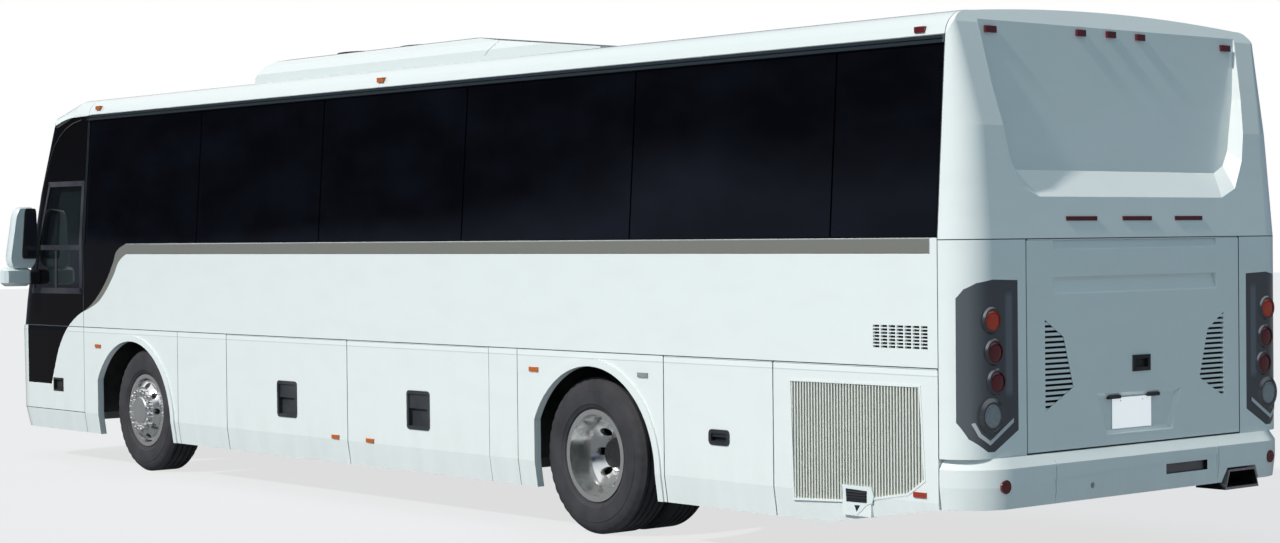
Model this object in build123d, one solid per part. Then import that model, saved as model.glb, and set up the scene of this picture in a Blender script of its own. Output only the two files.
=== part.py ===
from build123d import *
import math
import os

os.makedirs("parts", exist_ok=True)

# A two-axle coach bus, in millimetres. +X is forward, +Y is left and +Z is up. The origin is on
# the ground, under the middle of the vehicle's length and width.

# ---- Body: driving sizes ----
LENGTH = 10750.0  # rear bumper to nose
WIDTH = 2590.0  # over the side walls
BUMPER_PROUD = 50.0  # the rear bumper stands this far behind the rear wall
SKIRT_Z = 245.0  # lower edge of the side skirts
KNEE_Z = 400.0  # crease below which the skirt turns inwards
TUCK = 22.0  # how far the skirt turns inwards
PANEL_TOP_Z = 1060.0  # joint between the lower panels and the side wall
BELT_Z = 1700.0  # lower edge of the window band
WINDOW_TOP_Z = 2660.0
TUMBLE = 65.0  # how far the window band leans in at its top
EAVES_Z = 2700.0  # joint between the side wall and the roof
SHOULDER_Z = 2820.0  # roof shell, where its small curve meets the crown
SHOULDER_IN = 155.0  # how far in from the eaves
ROOF_Z = 2863.0
SHOULDER_BULGE = (40.0, 78.0)  # how far in from the eaves and over them the small curve passes
WALL = 45.0  # thickness of the walls and the roof
PANEL = 35.0  # thickness of the lower panels and their doors
GAP = 8.0  # joint around a door
SEAM = 0.5  # joint between fixed pieces that are cut from one curved skin
GLASS = 10.0
GLASS_SEAT = 45.0  # width of the ledge that a pane lies on
PANE_GAP = 12.0  # joint between two panes

HALF = WIDTH / 2
REAR_X = -LENGTH / 2 + BUMPER_PROUD  # plane of the rear wall
NOSE_X = LENGTH / 2
MIDDLE_X = (REAR_X + NOSE_X) / 2


def ahead(distance):
    """A place along the body, given as its distance ahead of the rear wall."""
    return REAR_X + distance


def behind(distance):
    """A place along the body, given as its distance behind the nose."""
    return NOSE_X - distance


def between(x0, x1, share):
    return x0 + (x1 - x0) * share


# ---- Places along the body ----
REAR_SEAM_X = ahead(190)  # rear cap to side wall
GRILLE_DOOR_X = REAR_SEAM_X
SERVICE_DOOR_X = ahead(1395)
REAR_ARCH_X = ahead(2300)
REAR_PLAIN_X = ahead(3670)
REAR_LOCKER_X = ahead(3960)
FRONT_PLAIN_X = behind(3560)
FRONT_LOCKER_X = between(REAR_LOCKER_X, FRONT_PLAIN_X, 0.503)
FRONT_ARCH_X = behind(2850)
FRONT_SEAM_X = behind(1360)  # side wall to front cap
REAR_AXLE_X = ahead(3018)
FRONT_AXLE_X = behind(2225)

# Joints between the side panes: a short pane at the rear, then shares of the rest.
SHORT_PANE_X = ahead(950)
PANE_SHARES = (0.0, 0.197, 0.395, 0.594, 0.793, 1.0)
PILLAR_X = [REAR_SEAM_X] + [between(SHORT_PANE_X, behind(1420), share) for share in PANE_SHARES]

# ---- Wheels ----
TYRE_R = 455.0
TYRE_W = 270.0
RIM_R = 268.0
RIM_W = 232.0
BARREL_R = 250.0
WHEEL_Y = HALF - 187  # middle plane of the front and outer rear wheels
TWIN_SPACING = 300.0
WHEEL_Z = TYRE_R
# Wheel arches: middle of the curve, its height and its radius.
FRONT_ARCH = (behind(2138), 355.0, 615.0)
REAR_ARCH = (ahead(2960), 388.0, 590.0)
ARCH_LEG = 530.0  # from the middle to the upright front leg, which cuts the curve short
ARCH_LIP = 45.0  # width of the raised edge around an arch
ARCH_LIP_OUT = 12.0

# ---- Rear end ----
REAR_CORNER_R = 180.0
REAR_CORNER_LEAST = 25.0  # the corners tighten upwards, so that they end at the joint to the side walls
BUMPER_TOP_Z = 620.0
BUMPER_LOW_Z = 370.0
REAR_JOINT_Z = 1690.0  # joint over the engine door and the corner posts
ENGINE_DOOR_HALF = HALF - 438
CAP_DEPTH = REAR_SEAM_X - REAR_X

# ---- Inside ----
DECK_Z = 1120.0  # top of the passenger floor
DECK = 50.0
CAB_Z = 780.0  # top of the driver's floor
BAY_FLOOR_Z = 330.0
HINGE_R = 4.0

nodes = {}


# ---- Helpers ----
def prism_x(points, x0, x1):
    """A (y, z) outline drawn out from x0 to x1."""
    face = Plane.YZ.offset(x0) * make_face(Polyline(*points, close=True))
    return extrude(face, amount=x1 - x0)


def prism_y(points, y0, y1):
    """An (x, z) outline drawn out from y0 to y1."""
    face = Plane.XZ.offset(-y1) * make_face(Polyline(*points, close=True))
    return extrude(face, amount=y1 - y0)


def prism_z(points, z0, z1):
    """An (x, y) outline drawn out from z0 to z1."""
    face = Plane.XY.offset(z0) * make_face(Polyline(*points, close=True))
    return extrude(face, amount=z1 - z0)


def symmetric(points):
    """Adds the mirror image of the points of a (y, z) outline."""
    return list(points) + [(-y, z) for y, z in reversed(points) if y]


def block(x0, x1, y0, y1, z0, z1):
    middle = ((x0 + x1) / 2, (y0 + y1) / 2, (z0 + z1) / 2)
    return Pos(*middle) * Box(x1 - x0, y1 - y0, z1 - z0)


def rod(axis, radius, start, length):
    """A cylinder along "x", "y" or "z", from its start point."""
    turn = {"x": Rot(0, 90, 0), "y": Rot(-90, 0, 0), "z": Rot(0, 0, 0)}[axis]
    base = Align.CENTER, Align.CENTER, Align.MIN
    return Pos(*start) * turn * Cylinder(radius, length, align=base)


def right(shape):
    """The same piece on the right-hand side."""
    return mirror(shape, about=Plane.XZ)


def group(*shapes):
    """Solids that share one node."""
    return Compound(children=[s for shape in shapes for s in shape.solids()])


def wall_y(z):
    """Half-width of the body's skin at a height."""
    if z < KNEE_Z:
        return HALF - TUCK * (KNEE_Z - z) / (KNEE_Z - SKIRT_Z)
    if z > BELT_Z:
        return HALF - TUMBLE * (z - BELT_Z) / (WINDOW_TOP_Z - BELT_Z)
    return HALF


def skin_strip(levels, inset, thickness):
    """Outline of a strip of the left wall, through the given heights."""
    outer = [(wall_y(z) - inset, z) for z in levels]
    inner = [(wall_y(z) - inset - thickness, z) for z in reversed(levels)]
    return outer + inner


# ---- Side walls and their panes ----
# Drip rail over the windows: distance out from the wall, height.
DRIP_RAIL = ((0, 2657), (15, 2655), (15, 2670), (7, 2674), (15, 2678), (15, 2694), (0, 2698))
MOULDING = ((0, 1622), (4, 1626), (4, 1694), (0, 1698))  # strip under the windows, likewise
MOULDING_REAR_X = ahead(240)
MOULDING_FRONT_X = behind(2450)
VENT = (255.0, 647.0, 1150.0, 1270.0)  # side vent: its rear and front ends, foot and top
VENT_SLOTS = 7  # slots across, and rows
SLOT = 11.0  # height of each slot


def strip_on_wall(profile, x0, x1):
    return prism_x([(wall_y(z) + out, z) for out, z in profile], x0, x1)


def vent_slots():
    x0, x1, z0, z1 = VENT
    across, up = (x1 - x0) / VENT_SLOTS, (z1 - z0) / VENT_SLOTS
    slots = []
    for column in range(VENT_SLOTS):
        for row in range(VENT_SLOTS):
            x, z = ahead(x0) + column * across, z0 + row * up
            slots.append(block(x + 5, x + across - 5, HALF - 15, HALF + 1, z + 3, z + 3 + SLOT))
    return slots


def side_wall():
    band = (BELT_Z + 5, WINDOW_TOP_Z - 5)
    wall = prism_x(skin_strip((PANEL_TOP_Z, BELT_Z, EAVES_Z), 0, WALL), REAR_SEAM_X, FRONT_SEAM_X)
    wall -= prism_x(skin_strip(band, 0, GLASS), REAR_SEAM_X + PANE_GAP, FRONT_SEAM_X + 1)
    for x0, x1 in zip(PILLAR_X, PILLAR_X[1:]):
        hole = (BELT_Z + GLASS_SEAT, WINDOW_TOP_Z - GLASS_SEAT)
        wall -= prism_x(skin_strip(hole, -1, WALL + 2), x0 + GLASS_SEAT, x1 - GLASS_SEAT)
    wall += strip_on_wall(DRIP_RAIL, REAR_SEAM_X, FRONT_SEAM_X)
    wall += strip_on_wall(MOULDING, MOULDING_REAR_X, MOULDING_FRONT_X)
    return wall


def side_panes():
    band = (BELT_Z + 5 + SEAM, WINDOW_TOP_Z - 5 - SEAM)
    strip = skin_strip(band, 0, GLASS)
    ends = [x - PANE_GAP / 2 for x in PILLAR_X[1:]]
    starts = [PILLAR_X[0] + PANE_GAP] + [x + PANE_GAP / 2 for x in PILLAR_X[1:-1]]
    return [prism_x(strip, x0, x1) for x0, x1 in zip(starts, ends)]


# ---- Lower panels, doors and arches ----
PANEL_LEVELS = (SKIRT_Z, KNEE_Z, PANEL_TOP_Z)


def lower_panel(x0, x1, top=PANEL_TOP_Z):
    panel = prism_x(skin_strip((SKIRT_Z, KNEE_Z, top), 0, PANEL), x0, x1)
    rise = [(REAR_X - 1, SKIRT_Z - 1), (ahead(1000), SKIRT_Z - 1), (ahead(1000), SKIRT_Z)]
    rise += [(REAR_SEAM_X, BUMPER_LOW_Z), (REAR_X - 1, BUMPER_LOW_Z)]
    return panel - prism_y(rise, 0, HALF + 1)


def side_door(x0, x1):
    """A lower panel that lifts about a hinge rod along its top edge."""
    return lower_panel(x0 + GAP / 2, x1 - GAP / 2, PANEL_TOP_Z - GAP)


def side_hinge(x0, x1):
    """The rod, set just into the side wall's lower edge."""
    start = (x0 + GAP, HALF - HINGE_R, PANEL_TOP_Z - HINGE_R + SEAM)
    return rod("x", HINGE_R, start, x1 - x0 - 2 * GAP)


def arch_shape(arch, margin, y0, y1):
    """The opening of an arch, made larger by a margin: a curve over two upright legs."""
    x, z, radius = arch
    radius += margin
    rear, front = x - radius, x + ARCH_LEG + margin
    curve = rod("y", radius, (x, y0, z), y1 - y0) & block(rear, front, y0, y1, z, z + radius)
    return curve + block(rear, front, y0, y1, 0, z)


def arch_panel(x0, x1, arch):
    """A fixed panel around a wheel, with a raised edge to its arch."""
    lip = prism_x(skin_strip(PANEL_LEVELS, -ARCH_LIP_OUT, PANEL + ARCH_LIP_OUT), x0, x1)
    lip &= arch_shape(arch, ARCH_LIP, 0, HALF + ARCH_LIP_OUT)
    return lower_panel(x0, x1) + lip - arch_shape(arch, 0, 0, HALF + ARCH_LIP_OUT + 1)


LENS = (44.0, 13.0, 8.0)  # side reflector: half-length, half-height and how far it stands out

# Recessed pulls: surround, its thickness outside the panel, and the pocket inside it.
PULL_RIM = 22.0
PULL_OUT = 6.0
PULL_DEPTH = 24.0
PULL_CORNER = 26.0
PADDLE_SHARE = 0.45  # how much of the pocket the pull itself fills, from the top


def with_pull(panel, x0, x1, z0, z1):
    """The panel with a recessed pull between the given ends, foot and top."""
    surround = block(x0, x1, HALF - PULL_OUT, HALF + PULL_OUT, z0, z1)
    surround = fillet(surround.edges().filter_by(Axis.Y), min(PULL_CORNER, (z1 - z0) / 3))
    x0, x1, z0, z1 = x0 + PULL_RIM, x1 - PULL_RIM, z0 + PULL_RIM, z1 - PULL_RIM
    pocket = block(x0, x1, HALF - PULL_DEPTH, HALF + PULL_OUT + 1, z0, z1)
    paddle_foot = z1 - (z1 - z0) * PADDLE_SHARE
    paddle = block(x0, x1, HALF - PULL_DEPTH, HALF - 3, paddle_foot, z1)
    return panel + surround - pocket + paddle


def lens(x, z, half_length=LENS[0], half_height=LENS[1]):
    """A small lamp or reflector that stands out of a side panel."""
    ends = (x - half_length, x + half_length)
    return block(*ends, HALF, HALF + LENS[2], z - half_height, z + half_height)


def with_lens(panel, x, z):
    return panel + lens(x, z)


# Radiator grille: (distance ahead of the rear wall, height) corners of its opening.
GRILLE = ((1257, 960), (321, 964), (292, 510), (403, 438), (781, 375), (1234, 353))
GRILLE_DEPTH = 20.0
GRILLE_RIM = 12.0
SLATS = 45
SLAT_SHARE = 0.45  # slat width as a share of the pitch


def with_grille(panel):
    opening = make_face(Polyline(*[(ahead(d), z) for d, z in GRILLE], close=True))
    frame = Plane.XZ.offset(-HALF - 3) * offset(opening, GRILLE_RIM, kind=Kind.INTERSECTION)
    panel += extrude(frame, amount=6)
    hole = extrude(Plane.XZ.offset(-HALF - 4) * opening, amount=GRILLE_DEPTH + 4)
    panel -= hole
    x0 = ahead(min(d for d, z in GRILLE))
    x1 = ahead(max(d for d, z in GRILLE))
    z0, z1 = min(z for d, z in GRILLE), max(z for d, z in GRILLE)
    pitch = (x1 - x0) / SLATS
    slats = []
    for i in range(SLATS):
        x = x0 + (i + 0.5) * pitch
        bar = block(x, x + pitch * SLAT_SHARE, HALF - GRILLE_DEPTH, HALF - 2, z0, z1)
        slats += (bar & hole).solids()
    return panel + slats


LATCH = (660.0, 868.0, 296.0, 450.0)  # box under the grille: rear and front ends, foot and top

plain_panels = []
for x0, x1, arch in (
    (REAR_ARCH_X, REAR_PLAIN_X, REAR_ARCH),
    (FRONT_ARCH_X, FRONT_SEAM_X, FRONT_ARCH),
):
    plain_panels += [arch_panel(x0, x1, arch), right(arch_panel(x0, x1, arch))]
for x0, x1 in ((REAR_PLAIN_X, REAR_LOCKER_X), (FRONT_PLAIN_X, FRONT_ARCH_X)):
    plain_panels += [lower_panel(x0, x1), right(lower_panel(x0, x1))]
plain_panels.append(right(lower_panel(GRILLE_DOOR_X, REAR_ARCH_X)))
nodes["skirt_panels"] = group(*plain_panels)

# Side doors: node; rear and front ends; half-length, foot and top of the pull; middle of the
# reflector.
LOCKER_PULL = (127.0, 516.0, 762.0)
SERVICE_PULL = (85.0, 590.0, 675.0)
PULL_SHARE = 0.48  # the pull's place along its door
LEFT_DOORS = (
    ("radiator_door", GRILLE_DOOR_X, SERVICE_DOOR_X, None, (ahead(317), 435)),
    ("left_service_door", SERVICE_DOOR_X, REAR_ARCH_X, SERVICE_PULL, None),
    ("left_rear_locker_door", REAR_LOCKER_X, FRONT_LOCKER_X, LOCKER_PULL, (FRONT_LOCKER_X - 273, 416)),
    ("left_front_locker_door", FRONT_LOCKER_X, FRONT_PLAIN_X, LOCKER_PULL, (FRONT_LOCKER_X + 145, 417)),
)
RIGHT_DOORS = tuple((name.replace("left", "right"), *row) for name, *row in LEFT_DOORS[2:])


def finished_door(x0, x1, pull, reflector):
    door = side_door(x0, x1)
    if pull:
        half_length, foot, top = pull
        x = between(x0, x1, PULL_SHARE)
        door = with_pull(door, x - half_length, x + half_length, foot, top)
    if reflector:
        door = with_lens(door, *reflector)
    return door


left_wall = side_wall() - vent_slots()
right_wall = right(side_wall())
for name, x0, x1, pull, reflector in LEFT_DOORS:
    nodes[name] = finished_door(x0, x1, pull, reflector)
    left_wall += side_hinge(x0, x1)
for name, x0, x1, pull, reflector in RIGHT_DOORS:
    nodes[name] = right(finished_door(x0, x1, pull, reflector))
    right_wall += right(side_hinge(x0, x1))
latch = block(ahead(LATCH[0]), ahead(LATCH[1]), HALF - PANEL, HALF + 5, LATCH[2], LATCH[3])
nodes["radiator_door"] = with_grille(nodes["radiator_door"]) + latch
nodes["left_wall"] = left_wall
nodes["right_wall"] = right_wall


# ---- Roof ----
STRAIGHT_DOWN = ((0, -1000),)


def roof_outline(inset, foot=STRAIGHT_DOWN):
    """Cross-section of the roof's skin. Its foot leads on from the eaves, in (out, up) places."""
    eaves_y = wall_y(EAVES_Z) - inset
    shoulder_y = wall_y(EAVES_Z) - SHOULDER_IN
    shoulder_z = SHOULDER_Z - inset
    bulge = (eaves_y - SHOULDER_BULGE[0], EAVES_Z + SHOULDER_BULGE[1] - inset)
    left = [(eaves_y, EAVES_Z)] + [(eaves_y + out, EAVES_Z + up) for out, up in foot]
    below = [(-y, z) for y, z in left] + left[::-1]
    edges = [
        ThreePointArc((eaves_y, EAVES_Z), bulge, (shoulder_y, shoulder_z)),
        ThreePointArc((shoulder_y, shoulder_z), (0, ROOF_Z - inset), (-shoulder_y, shoulder_z)),
        ThreePointArc((-shoulder_y, shoulder_z), (-bulge[0], bulge[1]), (-eaves_y, EAVES_Z)),
    ]
    return make_face(edges + [Line(start, end) for start, end in zip(below, below[1:])])


def roof_block(inset, x0, x1, foot=STRAIGHT_DOWN):
    return extrude(Plane.YZ.offset(x0) * roof_outline(inset, foot), amount=x1 - x0)


def under_roof(inset, x0, x1):
    """All that lies below the roof's skin, for trimming the two ends of the body."""
    return roof_block(inset, x0, x1) + block(x0, x1, -HALF - 1, HALF + 1, 0, EAVES_Z)


roof = roof_block(0, REAR_SEAM_X, FRONT_SEAM_X) - roof_block(WALL, REAR_SEAM_X - 1, FRONT_SEAM_X + 1)
roof -= block(REAR_SEAM_X - 1, FRONT_SEAM_X + 1, -HALF, HALF, 0, EAVES_Z)
# The crown falls away towards the rear edge.
REAR_FALL = ((600.0, ROOF_Z), (150.0, ROOF_Z - 16), (150.0, ROOF_Z + 50), (600.0, ROOF_Z + 50))
rear_fall = prism_y([(ahead(d), z) for d, z in REAR_FALL], -HALF, HALF)
nodes["roof"] = roof - rear_fall

# Air-conditioning unit on the roof: (distance ahead of the body's middle, height) along its side,
# and (distance across, height) of its section.
UNIT_LOW_Z = 2800.0
UNIT_SIDE = (
    (-2000, UNIT_LOW_Z),
    (-2000, 2856),
    (-900, 2968),
    (-520, 3016),
    (-250, 3030),
    (400, 3030),
    (1760, 3038),
    (1930, 3010),
    (2020, 2940),
    (2050, 2880),
    (2050, UNIT_LOW_Z),
)
UNIT_TOP_Z = 3050.0
UNIT_SECTION = ((900, UNIT_LOW_Z), (885, 2910), (850, 2965), (790, 3003), (700, 3020), (0, UNIT_TOP_Z))
# Joint between the unit's two covers, as its side leans: place along, height.
UNIT_JOINT = ((-810, 2873), (-983, 3020))
UNIT_JOINT_GAP = 8.0
UNIT_TOP_HALF = UNIT_SECTION[4][0]
unit = prism_y([(MIDDLE_X + d, z) for d, z in UNIT_SIDE], -HALF, HALF)
unit &= prism_x(symmetric(UNIT_SECTION), REAR_X, NOSE_X)
slot = [(MIDDLE_X + d, z) for d, z in UNIT_JOINT]
slot += [(x + UNIT_JOINT_GAP, z) for x, z in reversed(slot)]
unit -= [prism_y(slot, UNIT_TOP_HALF, HALF), prism_y(slot, -HALF, -UNIT_TOP_HALF)]
nodes["roof_unit"] = unit - roof_block(0, REAR_X, NOSE_X)

# Escape hatches in the roof, in front of and behind the unit.
HATCH_HALF = 310.0
HATCH_TOP_Z = ROOF_Z + 32
for x in (ahead(1900), behind(1950)):
    hatch = block(x - HATCH_HALF, x + HATCH_HALF, -HATCH_HALF, HATCH_HALF, ROOF_Z - WALL + 10, HATCH_TOP_Z)
    nodes["roof"] += chamfer(hatch.faces().sort_by(Axis.Z)[-1].edges(), 14)


# ---- Front end ----
# Plan sections of the nose: height, setback from the nose, corner radius and bow of the face.
NOSE_SECTIONS = (
    (SKIRT_Z, 120, 250, 44),
    (KNEE_Z, 80, 262, 42),
    (590, 20, 332, 40),
    (PANEL_TOP_Z - 15, 0, 340, 40),
    (PANEL_TOP_Z, 28, 340, 40),
    (1250, 52, 350, 50),
    (BELT_Z, 205, 315, 55),
    (2100, 282, 330, 55),
    (WINDOW_TOP_Z, 460, 350, 55),
    (2900, 560, 380, 56),
)


def nose_face(z, setback, corner, bow, inset):
    """Plan section of the nose: a bowed face that runs smoothly into two round corners."""
    side = wall_y(z) - inset
    tip = NOSE_X - setback - inset
    start = NOSE_X - setback - corner - bow
    corner = corner - inset
    lead = start - tip
    across = side - corner
    face_r = (corner**2 - lead**2 - across**2) / (2 * (lead + corner))
    centre = tip - face_r
    lean = math.atan2(across, start - centre)
    touch = (centre + face_r * math.cos(lean), face_r * math.sin(lean))
    half_turn = (math.pi / 2 + lean) / 2
    bend = (start + corner * math.cos(half_turn), across + corner * math.sin(half_turn))
    back = FRONT_SEAM_X - 20
    edges = [
        Line((back, -side), (start, -side)),
        ThreePointArc((start, -side), (bend[0], -bend[1]), (touch[0], -touch[1])),
        ThreePointArc((touch[0], -touch[1]), (tip, 0), touch),
        ThreePointArc(touch, bend, (start, side)),
        Line((start, side), (back, side)),
        Line((back, side), (back, -side)),
    ]
    return Plane.XY.offset(z) * make_face(edges)


# The nose's top edge in side view, up to the roof: distance behind the nose, height.
BROW = ((406.0, 2492.0), (640.0, 2715.0), (1150.0, ROOF_Z + 5))
DOME_PITCH = 13.0  # degrees by which the roof's section dips over the nose
DOME_X = behind(1113)  # where the dip starts
DOME_FOOT = ((80, -150), (80, -3400))


def brow(inset):
    """Side view of the nose, with the round edge between the screen and the roof."""
    low, middle, high = [(behind(d) - inset, z - inset) for d, z in BROW]
    back, front, top = FRONT_SEAM_X - 20, NOSE_X + 50, ROOF_Z + 100
    edges = [
        Line((back, 0), (front, 0)),
        Line((front, 0), (front, low[1])),
        Line((front, low[1]), low),
        ThreePointArc(low, middle, high),
        Line(high, (high[0], top)),
        Line((high[0], top), (back, top)),
        Line((back, top), (back, 0)),
    ]
    return extrude(Plane.XZ.offset(-HALF) * make_face(edges), amount=WIDTH)


def dome(inset):
    """The roof's section, dipping from over the front seats towards the nose."""
    pivot = Pos(DOME_X, 0, ROOF_Z)
    level = roof_block(inset, DOME_X - 1500, NOSE_X + 1000, DOME_FOOT)
    return pivot * Rot(0, DOME_PITCH, 0) * pivot.inverse() * level


def nose(inset):
    body = loft([nose_face(*row, inset) for row in NOSE_SECTIONS], ruled=True)
    return body & brow(inset) & under_roof(inset, FRONT_SEAM_X - 20, NOSE_X) & dome(inset)


CAP_WALL = 60.0
SCREEN_LOW_Z = 1230.0
SCREEN_TOP_Z = 2480.0
SCREEN_HALF = HALF - 105
SCREEN_FRAME = 50.0

outer_nose = nose(0)
inner_nose = nose(CAP_WALL)
shell = outer_nose - inner_nose
ahead_of_seam = block(FRONT_SEAM_X, NOSE_X + 1, -HALF, HALF, 0, ROOF_Z + 10)
shell &= ahead_of_seam

# Doorway on the right-hand side, in side view: the front edge leans back above the belt.
DOOR_REAR_X = behind(1270)
DOOR_FRONT_X = behind(495)
DOOR_LOW_Z = 300.0
DOOR_KNEE_Z = 1250.0
DOOR_TOP_Z = 2400.0
DOOR_LEAN = 400.0


def door_outline(margin):
    return [
        (DOOR_REAR_X + margin, DOOR_LOW_Z + margin),
        (DOOR_FRONT_X - margin, DOOR_LOW_Z + margin),
        (DOOR_FRONT_X - margin, DOOR_KNEE_Z),
        (DOOR_FRONT_X - DOOR_LEAN - margin, DOOR_TOP_Z - margin),
        (DOOR_REAR_X + margin, DOOR_TOP_Z - margin),
    ]


open_outline = [(x, z if z > DOOR_LOW_Z else SKIRT_Z - 1) for x, z in door_outline(0)]
doorway = prism_y(open_outline, -HALF - 1, -HALF + 400)

# Driver's window on the left-hand side: (distance behind the nose, height) of its corners.
CAB_WINDOW = ((1330, 1335), (510, 1325), (765, 2160), (1330, 2165))


def cab_window(margin, y0, y1):
    (d0, z0), (d1, _), (d2, z1), _ = CAB_WINDOW
    outline = [
        (behind(d0) + margin, z0 + margin),
        (behind(d1) - margin * 1.3, z0 + margin),
        (behind(d2) - margin * 1.3, z1 - margin),
        (behind(d0) + margin, z1 - margin),
    ]
    return prism_y(outline, y0, y1)


screen_band = block(FRONT_SEAM_X + 400, NOSE_X, -SCREEN_HALF, SCREEN_HALF, SCREEN_LOW_Z, SCREEN_TOP_Z)
screen_hole = block(
    FRONT_SEAM_X + 400,
    NOSE_X,
    -SCREEN_HALF + SCREEN_FRAME,
    SCREEN_HALF - SCREEN_FRAME,
    SCREEN_LOW_Z + SCREEN_FRAME,
    SCREEN_TOP_Z - SCREEN_FRAME,
)
glass_bed = outer_nose - nose(GLASS)
pane_skin = outer_nose - nose(GLASS - SEAM)
cap = shell & block(FRONT_SEAM_X, NOSE_X + 1, -HALF, HALF, PANEL_TOP_Z, ROOF_Z + 10)
cap -= glass_bed & screen_band
cap -= screen_hole
cap -= glass_bed & cab_window(0, HALF - 120, HALF)
cap -= cab_window(SCREEN_FRAME, HALF - 200, HALF + 1)
cap -= doorway
nodes["front_cap"] = cap
inner_band = block(
    FRONT_SEAM_X + 400,
    NOSE_X,
    -SCREEN_HALF + SEAM,
    SCREEN_HALF - SEAM,
    SCREEN_LOW_Z + SEAM,
    SCREEN_TOP_Z - SEAM,
)
nodes["windscreen"] = pane_skin & inner_band

panel = shell & block(FRONT_SEAM_X, NOSE_X + 1, -HALF, HALF, KNEE_Z, PANEL_TOP_Z)
panel -= doorway
panel -= block(FRONT_SEAM_X - 1, DOOR_REAR_X + 1, -HALF - 1, -HALF + 400, KNEE_Z, PANEL_TOP_Z)
bumper = shell & block(FRONT_SEAM_X, NOSE_X + 1, -HALF, HALF, SKIRT_Z, KNEE_Z)
bumper -= doorway
bumper -= block(FRONT_SEAM_X - 1, DOOR_REAR_X + 1, -HALF - 1, -HALF + 400, 0, KNEE_Z)

# Lamps in the front panel and fog lamps in the bumper.
HEADLAMP_Y = HALF - 375
HEADLAMP = (190.0, 800.0, 110.0)  # half-width, middle height and half-height of each cluster
LAMP_DEPTH = 40.0
FOG_LAMP = (HALF - 425, 322.0, 52.0)  # across, up, radius


def lamp_zone(margin):
    half_width, z, half_height = HEADLAMP
    y0, y1 = HEADLAMP_Y - half_width + margin, HEADLAMP_Y + half_width - margin
    zone = block(NOSE_X - 500, NOSE_X, y0, y1, z - half_height + margin, z + half_height - margin)
    y, z, radius = FOG_LAMP
    return zone + rod("x", radius - margin, (NOSE_X - 500, y, z), 500)


headlamp_skin = outer_nose - nose(LAMP_DEPTH - SEAM)
lamp_hole = (outer_nose - nose(LAMP_DEPTH)) & (lamp_zone(0) + right(lamp_zone(0)))
headlamps = headlamp_skin & (lamp_zone(SEAM) + right(lamp_zone(SEAM)))
panel -= lamp_hole
bumper -= lamp_hole

# Grille slots across the front panel and an air intake in the bumper: half-width, foot, top.
FRONT_SLOTS = ((560.0, 905.0, 935.0), (560.0, 955.0, 985.0), (560.0, 1005.0, 1035.0))
INTAKE = (560.0, 268.0, 366.0)
slot_skin = outer_nose - nose(30)
for half_width, z0, z1 in FRONT_SLOTS:
    panel -= slot_skin & block(NOSE_X - 400, NOSE_X, -half_width, half_width, z0, z1)
bumper -= slot_skin & block(NOSE_X - 400, NOSE_X, -INTAKE[0], INTAKE[0], INTAKE[1], INTAKE[2])

# Towing eye sockets: radius of the hole, its depth and the radius of the boss around it.
TOW_R = 16.0
TOW_DEPTH = 90.0
TOW_BOSS_R = 30.0
FRONT_TOW = (NOSE_X - 96, -680.0, 322.0)  # mouth of the front one
boss = rod("x", TOW_BOSS_R, (FRONT_TOW[0] - TOW_DEPTH - 20, *FRONT_TOW[1:]), TOW_DEPTH + 20)
bumper += boss
bumper -= rod("x", TOW_R, (FRONT_TOW[0] - TOW_DEPTH, *FRONT_TOW[1:]), TOW_DEPTH + 1)

# Small socket in the driver's side of the front panel: rear and front ends, foot and top.
SOCKET = (behind(1000), behind(830), 548.0, 652.0)
socket = block(SOCKET[0], SOCKET[1], HALF - 5, HALF + 4, SOCKET[2], SOCKET[3])
socket -= block(SOCKET[0] + 14, SOCKET[1] - 14, HALF - 30, HALF + 5, SOCKET[2] + 14, SOCKET[3] - 14)
panel -= block(SOCKET[0] + 14, SOCKET[1] - 14, HALF - 20, HALF + 5, SOCKET[2] + 14, SOCKET[3] - 14)
panel += socket
nodes["front_panel"] = panel
nodes["front_bumper"] = bumper
nodes["headlamps"] = group(headlamps)

# Passenger door: hinged at its front edge on a rod in the joint.
DOOR_LEVELS = (DOOR_LOW_Z, KNEE_Z, BELT_Z, DOOR_TOP_Z)


def door_strip(thickness):
    return prism_x(skin_strip(DOOR_LEVELS, 0, thickness), FRONT_SEAM_X, NOSE_X)


door = right(door_strip(WALL) & prism_y(door_outline(GAP), 0, HALF + 1))
# Its pane, from the door's rear edge forward: (distance behind the nose, height). The second
# outline is the hole behind the pane's ledge.
DOOR_GLASS = ((1180, 700), (590, 700), (590, 1250), (910, 2300), (1180, 2300))
DOOR_HOLE = ((1135, 745), (635, 745), (635, 1250), (955, 2255), (1135, 2255))
door_glass = prism_y([(behind(d), z) for d, z in DOOR_GLASS], 0, HALF + 1)
door_hole = prism_y([(behind(d), z) for d, z in DOOR_HOLE], 0, HALF + 1)
door -= right(door_strip(GLASS) & door_glass)
door -= right(door_hole)
nodes["passenger_door"] = door
nodes["passenger_door_glass"] = right(door_strip(GLASS - SEAM) & door_glass)
door_hinge = right(
    rod("z", HINGE_R, (DOOR_FRONT_X - HINGE_R + SEAM, HALF - HINGE_R, PANEL_TOP_Z), DOOR_KNEE_Z - PANEL_TOP_Z)
)
nodes["front_cap"] += door_hinge

cab_panes = pane_skin & cab_window(SEAM, HALF - 120, HALF)
nodes["side_windows"] = group(*side_panes(), *[right(p) for p in side_panes()], cab_panes)


# ---- Rear end ----
# Side view of the rear face above its joint: distance ahead of the rear wall, height.
REAR_RAKE = ((0, REAR_JOINT_Z), (45, 2250), (150, 2760), (200, 2900))


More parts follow.
